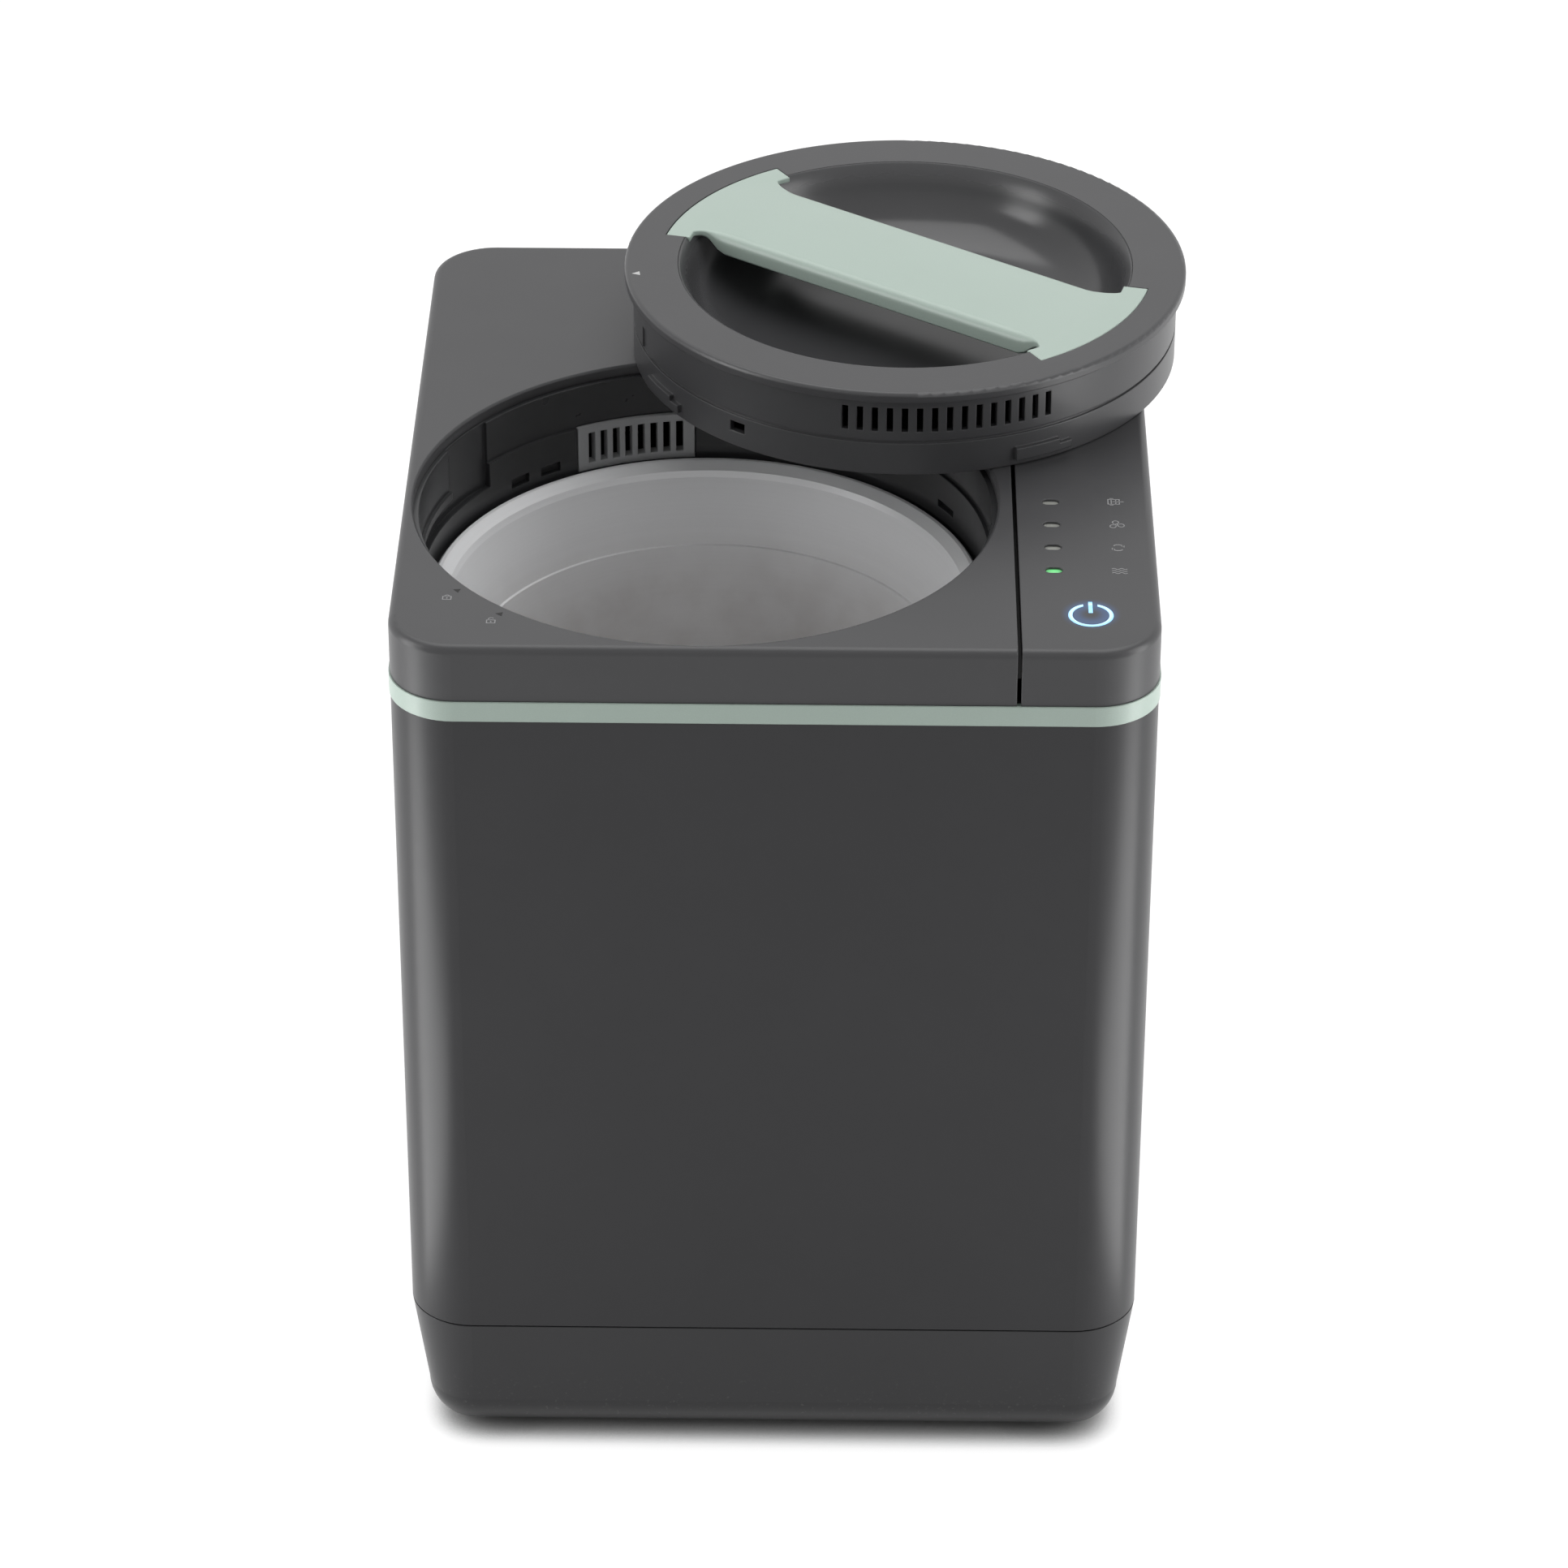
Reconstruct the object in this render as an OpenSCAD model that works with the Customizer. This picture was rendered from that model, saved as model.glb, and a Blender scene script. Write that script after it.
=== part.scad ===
// Electric food waste composter: a plastic housing with a heated well, a lift-out bucket
// with a turning auger, a twist lid with a bridge handle, and two carbon filters behind.
// The origin is on the counter, midway between the four feet. +Z is up, the front is -Y.

/* [Body] */
// Width of the top between the opening and the left side
side_land = 3.5; // [3.3:0.1:10]
// Width of the top between the opening and the front
front_land = 3.5; // [3.3:0.1:10]
// Height of the top surface above the counter
top_z = 362; // [356:1:380]
// Plan radius of the housing corners
corner_r = 24; // [24:0.5:30]
// Wall thickness of the housing mouldings
wall = 2.5; // [2:0.1:2.9]

/* [Base and trim] */
// Height of the seam between the base tray and the housing
seam_z = 60; // [56:1:66]
// Gap between the counter and the underside of the base tray
foot_gap = 3.5; // [2:0.5:6]
// Radius that rounds the underside of the base tray
base_round = 17; // [10:0.5:17.5]
// How far the base tray narrows on each side above that rounding
base_taper = 5.5; // [2:0.5:6]
// Height of the trim band
band_h = 8; // [6:0.5:10]
// How far the trim band stands proud of the housing
band_proud = 0.5; // [0.2:0.1:1]
// Height of the top cover above the trim band
cover_h = 22.5; // [20:0.5:24]
// Radius of the rounded top edge
top_round = 3; // [2:0.5:4]
// Thickness of the top cover's plate
plate_t = 3; // [2.5:0.5:4]

/* [Well and bucket] */
// Distance of the opening's centre left of the housing's middle
open_x = 27; // [24:0.5:34]
// Distance of the opening's centre in front of the housing's middle
open_y = 47; // [45:0.5:56]
// Radius of the opening in the top cover
open_r = 109; // [98:0.5:122]
// Depth of the lid ledge below the top surface
ledge_dz = 4.5; // [4:0.5:6]
// Depth of the bucket's rim below the top surface
rim_dz = 40; // [38:0.5:44]
// Clearance of the bucket's rim inside the well
rim_play = 1.8; // [1:0.1:2.4]
// Depth of the bucket inside
bucket_depth = 112; // [100:1:116]
// Inner radius of the bucket at its floor
bucket_floor_r = 73; // [66:1:76]
// Wall thickness of the bucket
bucket_t = 2.2; // [1.8:0.1:3]
// Number of slots in the air grille of the well
grille_slots = 8; // [5:1:9]

/* [Lid] */
// Overall height of the lid
lid_h = 36; // [34:1:40]
// Clearance of the lid's flange inside the opening
lid_play = 0.4; // [0.2:0.1:1]
// Width of the lid's flange round the bowl
flange_w = 20.6; // [18:0.1:24]
// Distance of the lid's centre right of the housing's middle, where it lies
lid_x = 47.5; // [40:0.5:52]
// Distance of the lid's centre behind the housing's middle, where it lies
lid_y = 76; // [70:1:80]
// Direction of the handle bar on the lid
handle_turn = -35.5; // [-60:0.5:-20]
// Width of the handle bar
handle_w = 49; // [40:1:54]
// Number of steam slots in the lid's skirt
steam_slots = 15; // [9:2:19]

/* [Control panel] */
// Width of the top between the opening and the black gap
panel_land = 6; // [5.5:0.5:9]
// Width of the black gap between the top cover and the control panel
panel_gap = 1.6; // [1:0.1:2.4]
// Spacing of the four indicator windows
lens_pitch = 17; // [14:0.5:18]

/* [Drive] */
// Teeth of the two large gears
wheel_teeth = 60; // [50:1:60]
// Teeth of the two pinions
pinion_teeth = 15; // [14:1:16]
// Tooth module of the output stage
module_out = 1.5; // [1.4:0.05:1.5]
// Tooth module of the motor stage
module_in = 1; // [0.9:0.05:1]
// Radius of the output shaft
shaft_r = 6; // [5:0.5:7]
// Radius of the motor can
motor_r = 26; // [22:1:28]

/* [Filters] */
// Width of one carbon filter
filter_w = 82; // [70:1:84]
// Depth of one carbon filter
filter_d = 66; // [56:1:68]
// Height of one carbon filter
filter_h = 150; // [130:1:158]

/* [Hidden] */
$fn = 96;
BIG = 600;
SEAT = 0.3;                 // gap where one piece rests on another
RUN = 0.05;                 // radial clearance of a running fit
SKIM = 0.6;                 // depth of a groove or raised line

// The opening and the lands round it set the plan of the whole body
ox = -open_x;
oy = -open_y;
body_w = 2 * (open_x + open_r + side_land);
body_d = 2 * (open_y + open_r + front_land);
panel_x = open_r - open_x + panel_land;
band_z = top_z - cover_h - band_h;
cover_z = top_z - cover_h;
base_z = foot_gap;
half_w = body_w / 2;
half_d = body_d / 2;
cx = half_w - corner_r;
cy = half_d - corner_r;

// Well levels
ledge_z = top_z - ledge_dz;
rim_z = top_z - rim_dz;
step_z = top_z - 22;        // the well narrows here to guide the lid
seat_z = rim_z - 3.6;       // the bucket's flange rests here
bucket_floor_z = rim_z - bucket_depth;
bucket_foot_z = bucket_floor_z - 4;
heater_z = bucket_foot_z - 6;
well_floor_z = heater_z - 3.3;
well_top_r = open_r - 2;
well_r = open_r - 3.2;
well_out_r = open_r + 0.7;
well_low_r = well_r - 4.8;
well_t = 2;
rim_r = well_r - rim_play;
rim_in_r = rim_r - 7;

// Drive levels
deck_t = 2;
box_h = 44;
deck_z = well_floor_z - box_h - 20;
box_z = deck_z + deck_t;
box_t = 2.5;
cover_plate_z = box_z + box_h;
out_centre = module_out * (wheel_teeth + pinion_teeth) / 2;
in_centre = module_in * (wheel_teeth + pinion_teeth) / 2;
idler_x = ox + out_centre;
motor_dir = 45;
motor_x = idler_x + in_centre * cos(motor_dir);
motor_y = oy + in_centre * sin(motor_dir);
idler_z = box_z + 9;
idler_face = 8;
out_gear_z = idler_z + idler_face + 1.5;
out_face = 12;
pin_r = 4;
bush_t = 3;
dog_r = 8;
dog_z = bucket_foot_z - 3;
dog_top_z = bucket_floor_z + 3;
auger_shaft_r = 12;
collar_z = bucket_floor_z + 7;
motor_h = 66;

// Air path
grille_mid = 106.5;         // direction of the air grille seen from the well's axis
grille_half = 13;
grille_z0 = rim_z - 1;
grille_z1 = top_z - 21.5;
bay_w = 2 * filter_w + 14;
bay_wall = 2;
bay_back = half_d - wall - 0.8;
bay_d = filter_d + 12;
bay_z = top_z - 250;
bay_h = filter_h + 24;
bay_front = bay_back - bay_d;
fan_x = ox - 18;
fan_side = 76;
fan_y = bay_back - fan_side / 2 - 3;
fan_h = 15;
fan_z = bay_z + bay_h;
fan_r = 33;
hub_r = 13;
duct_z0 = fan_z + fan_h;
duct_z1 = grille_z1 + 3;
duct_t = 2;
mouth_gap = 7;               // room round the filter bay's mouth in the rear opening
rear_w = bay_w + 2 * mouth_gap;
rear_h = bay_h + 2 * mouth_gap;
rear_z = bay_z - mouth_gap;
cover_lap = 4;               // how far the rear cover laps over the opening's edge
cover_slit = 0.05;            // between the cover's flat panels, which clip together
pocket_t = 1.5;               // walls of the pocket behind the finger pull

// Control panel
lens_x = panel_x + 13.5;
lens_y = 110.5 - half_d;
power_x = panel_x + 26;
power_y = 27 - half_d;
power_r = 8.2;
board_z = top_z - 20;

// Plan outline of the housing, moved inwards
module plan(inset = 0) {
    r = corner_r - inset;
    square([body_w - 2 * corner_r, body_d - 2 * inset], center = true);
    square([body_w - 2 * inset, body_d - 2 * corner_r], center = true);
    for (x = [-cx, cx], y = [-cy, cy]) translate([x, y]) circle(r);
}

// Rectangle with round corners
module round_rect(w, d, r) {
    square([w - 2 * r, d], center = true);
    square([w, d - 2 * r], center = true);
    for (x = [r - w / 2, w / 2 - r], y = [r - d / 2, d / 2 - r]) translate([x, y]) circle(r);
}

// Sweeps an edge profile round the four corners and sides; its X starts at the corner axis
module swept_edge(z0, z1) {
    for (sx = [0, 1], sy = [0, 1]) mirror([sx, 0, 0]) mirror([0, sy, 0])
        translate([cx, cy, 0]) rotate_extrude(angle = 90) children();
    for (s = [0, 1]) mirror([0, s, 0]) translate([-cx, cy, 0])
        rotate([90, 0, 90]) linear_extrude(2 * cx) children();
    for (s = [0, 1]) mirror([s, 0, 0]) translate([cx, cy, 0])
        rotate([90, 0, 0]) linear_extrude(2 * cy) children();
    translate([-cx, -cy, z0]) cube([2 * cx, 2 * cy, z1 - z0]);
}

module ring(r1, r0, h) {
    difference() {
        cylinder(r = r1, h = h);
        translate([0, 0, -1]) cylinder(r = r0, h = h + 2);
    }
}

module at_well(z = 0) { translate([ox, oy, z]) children(); }

// Wedge of a ring, between two directions
module ring_sector(r1, r0, a0, a1, h) {
    rotate([0, 0, a0]) rotate_extrude(angle = a1 - a0) translate([r0, 0]) square([r1 - r0, h]);
}

/* Base */
module base_edge(inset) {
    u = corner_r - base_taper;
    r = min(base_round, u - 1) - inset;
    zb = base_z + inset;
    intersection() {
        square([corner_r, seam_z]);
        union() {
            polygon([[0, zb + r], [u - inset, zb + r], [corner_r - inset, seam_z], [0, seam_z]]);
            translate([u - inset - r, zb + r]) circle(r);
            translate([0, zb]) square([max(u - inset - r, 0.01), r]);
        }
    }
}

foot_x = cx - 8;
foot_y = cy - 8;
foot_r = 11;
foot_boss_h = 4;
post_x = half_w - 43.5;
post_y0 = 51.5 - half_d;
post_y1 = bay_front - 12.2;

module base_tray() {
    color([0.22, 0.22, 0.23]) difference() {
        union() {
            difference() {
                swept_edge(base_z, seam_z) base_edge(0);
                translate([0, 0, 0]) swept_edge(base_z + wall, seam_z + 1) union() {
                    base_edge(wall);
                    translate([0, seam_z - 0.01]) square([corner_r - wall, 1.01]);
                }
            }
            // tongue that locates the housing
            translate([0, 0, seam_z - 4]) linear_extrude(8) difference() {
                plan(wall + 0.2);
                plan(wall + 2);
            }
            for (x = [-foot_x, foot_x], y = [-foot_y, foot_y]) translate([x, y, base_z + 1])
                cylinder(r = foot_r + 2.5, h = foot_boss_h + 1.5);
            for (x = [-post_x, post_x], y = [post_y0, post_y1]) translate([x, y, base_z + 1])
                cylinder(r = 7, h = 7);
        }
        for (x = [-foot_x, foot_x], y = [-foot_y, foot_y]) translate([x, y, base_z - 1])
            cylinder(r = foot_r + 0.3, h = foot_boss_h);
        // cooling louvres under the motor
        for (k = [-5:5]) translate([motor_x + k * 8 - 1.5, motor_y - 24, base_z - 1])
            cube([3, 48, wall + 2]);
        // countersunk screw holes into the deck posts
        for (x = [-post_x, post_x], y = [post_y0, post_y1]) translate([x, y, base_z - 1]) {
            cylinder(r = 2.2, h = 12);
            cylinder(r = 4.4, h = 4);
        }
    }
}

module rubber_feet() {
    color([0.1, 0.1, 0.1])
    for (x = [-foot_x, foot_x], y = [-foot_y, foot_y]) translate([x, y, 0]) {
        cylinder(r1 = foot_r - 1.2, r2 = foot_r, h = 1.2);
        translate([0, 0, 1.2]) cylinder(r = foot_r, h = base_z + foot_boss_h - 2.2);
    }
}

module screw(head_r, head_h, r, len) {
    difference() {
        union() {
            cylinder(r = head_r, h = head_h);
            translate([0, 0, head_h - 0.5]) cylinder(r = r, h = len);
        }
        translate([0, 0, -1]) cylinder(r = r * 0.62, h = 1 + head_h * 0.6, $fn = 6);
    }
}

module base_screws() {
    color("silver")
    for (x = [-post_x, post_x], y = [post_y0, post_y1]) translate([x, y, base_z + 0.8])
        screw(4, 2.1, 2, 9);
}

/* Housing */
inlet_x = half_w - 51.5;
inlet_z = seam_z + 24;
inlet_w = 30;
inlet_h = 23;

module housing() {
    color([0.24, 0.24, 0.25]) difference() {
        union() {
            translate([0, 0, seam_z]) linear_extrude(band_z - seam_z) difference() {
                plan();
                plan(wall);
            }
            // inner lip that carries the trim band
            translate([0, 0, band_z - 6]) linear_extrude(band_h + 6 - SEAT) difference() {
                plan(wall - 0.1);
                plan(wall + 1.6);
            }
        }
        // rear cover opening
        translate([0, half_d - wall - 3, rear_z + rear_h / 2]) rotate([-90, 0, 0])
            linear_extrude(wall + 4) round_rect(rear_w, rear_h, 2);
        translate([inlet_x, half_d - wall - 3, inlet_z]) rotate([-90, 0, 0])
            linear_extrude(wall + 4) round_rect(inlet_w + 0.4, inlet_h + 0.4, 4);
        // shadow groove above the seam
        translate([0, 0, seam_z - 0.01]) linear_extrude(SKIM) difference() {
            plan(-1);
            plan(SKIM);
        }
        // the well and its lid ledge come close to the left and front walls
        at_well(band_z - 7) cylinder(r = well_out_r + SEAT, h = band_h + 8);
    }
}

module trim_band() {
    color([0.72, 0.78, 0.74]) translate([0, 0, band_z]) {
        linear_extrude(band_h) difference() {
            plan(-band_proud);
            plan(wall - 0.2);
        }
    }
}

/* Top cover and control panel */
module cover_edge() {
    intersection() {
        square([corner_r, top_z]);
        union() {
            translate([0, cover_z]) square([corner_r, cover_h - top_round]);
            translate([0, cover_z]) square([corner_r - top_round, cover_h]);
            translate([corner_r - top_round, top_z - top_round]) circle(top_round);
        }
    }
}

module cover_shell() {
    difference() {
        swept_edge(cover_z, top_z) cover_edge();
        translate([0, 0, cover_z - 1]) linear_extrude(cover_h - plate_t + 1) plan(wall);
    }
}

module left_of_gap() {
    translate([-BIG / 2, -BIG / 2, 0]) cube([BIG / 2 + panel_x - panel_gap / 2, BIG, BIG]);
}

module right_of_gap() {
    translate([panel_x + panel_gap / 2, -BIG / 2, 0]) cube([BIG / 2, BIG, BIG]);
}

module top_cover() {
    color([0.32, 0.32, 0.33]) difference() {
        union() {
            intersection() {
                cover_shell();
                left_of_gap();
            }
            // ring under the plate that meets the well's flange
            intersection() {
                at_well(ledge_z) ring(open_r + 5, open_r, ledge_dz - plate_t + 0.5);
                translate([0, 0, cover_z]) linear_extrude(cover_h - 1) plan(wall - 0.5);
                left_of_gap();
            }
            // flange along the black gap
            translate([panel_x - panel_gap / 2 - 2, -half_d + wall - 0.5, top_z - 9])
                cube([2, body_d - 2 * wall + 1, 9 - plate_t + 0.5]);
        }
        at_well(cover_z) cylinder(r = open_r, h = cover_h + 1);
        at_well(top_z - 0.8) cylinder(r1 = open_r, r2 = open_r + 0.8, h = 0.81);
    }
}

module panel_gap_strip() {
    color([0.05, 0.05, 0.05])
    translate([panel_x - panel_gap / 2 - 1.8, -half_d + wall + 0.2, top_z - 12.5])
        cube([panel_gap + 3.6, body_d - 2 * wall - 0.4, 3.3]);
}

module oval(w, h) {
    square([w - h, h], center = true);
    for (s = [-1, 1]) translate([s * (w - h) / 2, 0]) circle(h / 2);
}

lens_w = 6.4;
lens_h = 4;
lens_sink = 0.9;

module control_panel() {
    color([0.32, 0.32, 0.33]) difference() {
        union() {
            intersection() {
                cover_shell();
                right_of_gap();
            }
            translate([panel_x + panel_gap / 2, -half_d + wall - 0.5, top_z - 9])
                cube([2, body_d - 2 * wall + 1, 9 - plate_t + 0.5]);
            // posts that carry the control board
            for (y = [lens_y + 12, power_y - 8], x = [lens_x - 5, half_w - 14])
                translate([x, y, board_z + 1.6]) cylinder(r = 3, h = top_z - plate_t - board_z - 1.1);
        }
        for (k = [0:3]) translate([lens_x, lens_y - k * lens_pitch, top_z - plate_t - 1])
            linear_extrude(plate_t + 2) oval(lens_w, lens_h);
        translate([power_x, power_y, top_z - 0.8]) power_symbol(0.9, 0.05);
    }
}

module indicator_lenses() {
    color([0.5, 0.8, 0.6]) for (k = [0:3]) translate([lens_x, lens_y - k * lens_pitch, 0]) {
        translate([0, 0, board_z + 2.6])
            linear_extrude(top_z - lens_sink - board_z - 2.6) oval(lens_w - 0.1, lens_h - 0.1);
    }
}

// Open ring with a short bar, the usual power sign
module power_symbol(h, grow) {
    linear_extrude(h) union() {
        difference() {
            circle(power_r + grow);
            circle(power_r - 1.5 - grow);
            translate([-2.6 + grow, 0]) square([5.2 - 2 * grow, power_r + 3]);
        }
        translate([-0.75 - grow, 1.6 - grow]) square([1.5 + 2 * grow, power_r - 0.2 + 2 * grow]);
    }
}

module power_light_ring() {
    color([0.6, 0.8, 1]) translate([power_x, power_y, top_z - 0.8]) power_symbol(0.75, 0);
}

module control_board() {
    y0 = power_y - 12;
    y1 = lens_y + 20;
    x0 = panel_x + 6;
    x1 = half_w - wall - 4;
    color([0.05, 0.35, 0.2]) difference() {
        union() {
            translate([x0, y0, board_z]) cube([x1 - x0, y1 - y0, 1.6]);
            for (k = [0:3]) translate([lens_x - 2, lens_y - k * lens_pitch - 1.2, board_z + 1.2])
                cube([4, 2.4, 1.4]);
            translate([power_x, power_y, board_z + 1.2]) cylinder(r = 7, h = 3);
            translate([x0 + 8, (y0 + y1) / 2 - 8, board_z - 2]) cube([14, 14, 2.4]);
            translate([x1 - 9, y1 - 24, board_z - 6]) cube([7, 20, 6.4]);
        }
        for (y = [lens_y + 12, power_y - 8], x = [lens_x - 5, half_w - 14])
            translate([x, y, board_z - 1]) cylinder(r = 1.2, h = 4);
    }
}

/* Well */
slot_dir = 150;             // direction of the first bayonet slot
slot_half = 7;
slot_sweep = 28;
slot_r = well_out_r - 1.5;
heater_r = bucket_floor_r + 5;
leg_r = bucket_floor_r + 3;

module well_liner() {
    color([0.2, 0.2, 0.21]) at_well() difference() {
        union() {
            // upper wall, cut back where the housing walls come close
            translate([0, 0, seat_z - 3]) ring(well_out_r, well_r, ledge_z - seat_z + 3);
            // flange under the top cover
            intersection() {
                translate([0, 0, ledge_z - 2.5]) ring(open_r + 5, well_r, 2.5);
                translate([-ox, -oy, ledge_z - 3]) linear_extrude(4) plan(wall + 0.3);
                translate([-ox - 2.5, -oy, 0]) left_of_gap();
            }
            translate([0, 0, seat_z - 3]) ring(well_out_r, well_low_r, 3);
            translate([0, 0, well_floor_z]) ring(well_low_r + well_t, well_low_r, seat_z - well_floor_z);
            translate([0, 0, well_floor_z]) ring(well_low_r + well_t, shaft_r + 5, 3);
            // legs that stand on the deck
            for (a = [60, 140, 220, 300]) rotate([0, 0, a]) translate([leg_r, 0, box_z + SEAT])
                difference() {
                    cylinder(r = 6, h = well_floor_z - box_z);
                    translate([0, 0, -1]) cylinder(r = 2, h = 20);
                }
        }
        // wider mouth above the guide step
        translate([0, 0, step_z]) cylinder(r = well_top_r, h = BIG);
        // bayonet slots: straight down, then round
        for (a = [slot_dir:-90:slot_dir - 270]) {
            translate([0, 0, rim_z + 8])
                ring_sector(slot_r, well_r - 1, a - slot_half, a + slot_half, 60);
            translate([0, 0, rim_z + 8])
                ring_sector(slot_r, well_r - 1, a - 1, a + slot_sweep, 7);
        }
        // window for the air grille
        translate([0, 0, grille_z0]) ring_sector(open_r + 20, well_r - 6,
            grille_mid - grille_half, grille_mid + grille_half, grille_z1 - grille_z0);
        // notches beside the grille
        for (a = [126, 134]) translate([0, 0, rim_z + 2])
            ring_sector(slot_r, well_r - 1, a - 2.4, a + 2.4, 4);
        translate([0, 0, rim_z + 4]) ring_sector(slot_r, well_r - 1, 28, 34, 3);
    }
}

// Bars and frame of the grille follow the round wall of the well
module air_grille() {
    h = grille_z1 - grille_z0 - 0.4;
    a0 = grille_mid - grille_half + 0.2;
    a1 = grille_mid + grille_half - 0.2;
    edge = 1.8;
    pitch = (a1 - a0 - 2 * edge) / grille_slots;
    color([0.62, 0.63, 0.64]) at_well(grille_z0 + 0.2) difference() {
        union() {
            ring_sector(well_out_r, well_r - 0.3, a0, a1, h);
        }
        for (k = [0:grille_slots - 1]) translate([0, 0, 3])
            ring_sector(well_out_r + 1, well_r - 1.4, a0 + edge + (k + 0.22) * pitch,
                a0 + edge + (k + 0.78) * pitch, h - 6);
    }
}

module heater_plate() {
    color([0.75, 0.75, 0.76]) at_well(well_floor_z + 3) difference() {
        union() {
            cylinder(r = heater_r, h = 4);
            for (a = [0:60:300]) rotate([0, 0, a]) translate([heater_r - 26, -1, 3]) cube([22, 2, 2]);
        }
        translate([0, 0, -1]) cylinder(r = 20, h = 8);
    }
}

module heating_ring() {
    color([0.35, 0.3, 0.28]) at_well(well_floor_z - 4.3)
        rotate([0, 0, 20]) rotate_extrude(angle = 320) translate([heater_r - 22, 0]) circle(4);
}

module thermostat() {
    color([0.85, 0.84, 0.8]) at_well() rotate([0, 0, 0]) translate([34, 0, well_floor_z - 8.2]) {
        cylinder(r = 9, h = 8);
        for (s = [-1, 1]) translate([s * 4 - 0.4, -3, -4]) cube([0.8, 6, 5]);
    }
}

module shaft_seal() {
    color([0.6, 0.2, 0.12]) at_well(well_floor_z - 0.5) difference() {
        union() {
            cylinder(r = shaft_r + 4.9, h = 5);
            cylinder(r = shaft_r + 7, h = 0.5);
        }
        translate([0, 0, -1]) cylinder(r = shaft_r + SEAT, h = 8);
    }
}

/* Deck that carries the drive */
module deck_plate() {
    color([0.66, 0.67, 0.68]) difference() {
        translate([0, 0, deck_z]) linear_extrude(deck_t) difference() {
            translate([0, (post_y0 + post_y1) / 2])
                round_rect(2 * post_x + 24, post_y1 - post_y0 + 24, 10);
            translate([motor_x, motor_y]) circle(12);
            for (y = [oy + 77, oy - 63]) translate([24 - post_x, y]) circle(14);
            for (x = [-post_x, post_x], y = [post_y0, post_y1]) translate([x, y]) circle(2.2);
        }
    }
}

module deck_posts() {
    color([0.66, 0.67, 0.68]) for (x = [-post_x, post_x], y = [post_y0, post_y1])
        translate([x, y, base_z + 8]) difference() {
            cylinder(r = 5, h = deck_z - base_z - 8);
            translate([0, 0, -1]) cylinder(r = 2.05, h = 12);
            translate([0, 0, deck_z - base_z - 20]) cylinder(r = 1.6, h = 20);
        }
}

/* Gearbox */
module gearbox_plan(inset) {
    translate([ox, oy]) circle(module_out * wheel_teeth / 2 + 7 - inset);
    translate([idler_x, oy]) circle(module_in * wheel_teeth / 2 + 7 - inset);
    translate([motor_x, motor_y]) circle(module_in * pinion_teeth / 2 + 10 - inset);
}

module gearbox_bosses(r) {
    reach = module_out * wheel_teeth / 2 + 9;
    for (a = [80, 160, 240]) translate([ox + reach * cos(a), oy + reach * sin(a)]) circle(r);
    translate([idler_x + 6, oy - module_in * wheel_teeth / 2 - 9]) circle(r);
}

module gearbox_housing() {
    color([0.5, 0.51, 0.52]) difference() {
        union() {
            translate([0, 0, box_z]) linear_extrude(box_t) gearbox_plan(0);
            translate([0, 0, box_z]) linear_extrude(box_h) difference() {
                gearbox_plan(0);
                gearbox_plan(box_t);
            }
            difference() {
                translate([0, 0, box_z]) linear_extrude(box_h) gearbox_bosses(5);
                translate([0, 0, box_z - 1]) linear_extrude(box_h + 2) gearbox_plan(1);
            }
            translate([ox, oy, box_z]) cylinder(r = shaft_r + bush_t + 3, h = 8);
            translate([idler_x, oy, box_z]) cylinder(r = pin_r + 3, h = 7);
        }
        translate([ox, oy, box_z + 2]) cylinder(r = shaft_r + bush_t, h = 20);
        translate([idler_x, oy, box_z - 1]) cylinder(r = pin_r, h = 20);
        translate([motor_x, motor_y, box_z - 1]) cylinder(r = 10.5, h = 20);
        translate([0, 0, box_z + box_h - 12]) linear_extrude(20) gearbox_bosses(1.6);
    }
}

module gearbox_cover() {
    color([0.5, 0.51, 0.52]) difference() {
        union() {
            translate([0, 0, cover_plate_z]) linear_extrude(3) {
                gearbox_plan(0);
                gearbox_bosses(5);
            }
            translate([ox, oy, cover_plate_z - 3]) cylinder(r = shaft_r + bush_t + 3, h = 8);
            for (a = [0:45:315]) translate([ox, oy, cover_plate_z + 2]) rotate([0, 0, a])
                translate([shaft_r + bush_t + 1, -0.9, 0]) cube([24, 1.8, 2.5]);
        }
        translate([ox, oy, cover_plate_z - 5]) cylinder(r = shaft_r + bush_t, h = 20);
        translate([idler_x, oy, cover_plate_z - 5]) cylinder(r = pin_r, h = 7);
        translate([0, 0, cover_plate_z - 5]) linear_extrude(20) gearbox_bosses(2);
    }
}

module gearbox_screws() {
    reach = module_out * wheel_teeth / 2 + 9;
    places = concat([for (a = [80, 160, 240]) [ox + reach * cos(a), oy + reach * sin(a)]],
        [[idler_x + 6, oy - module_in * wheel_teeth / 2 - 9]]);
    color("silver") for (p = places)
        translate([p.x, p.y, cover_plate_z + 3 + 2]) mirror([0, 0, 1]) screw(3.4, 2, 1.5, 10);
}

module bush(h) {
    difference() {
        cylinder(r = shaft_r + bush_t, h = h);
        translate([0, 0, -1]) cylinder(r = shaft_r + RUN, h = h + 2);
    }
}

module lower_bush() { color("goldenrod") translate([ox, oy, box_z + 2]) bush(6); }

module upper_bush() { color("goldenrod") translate([ox, oy, cover_plate_z - 3]) bush(8); }

module idler_pin() {
    color("silver") translate([idler_x, oy, box_z]) cylinder(r = pin_r, h = box_h + 2);
}

// Involute flank: half of the tooth's angle at a radius
PRESSURE = 25;
function involute(a) = tan(a) * 180 / PI - a;
function half_tooth(r, rb, n, back) = 90 / n + involute(PRESSURE)
    - involute(r > rb ? acos(rb / r) : 0) - back;

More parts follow.
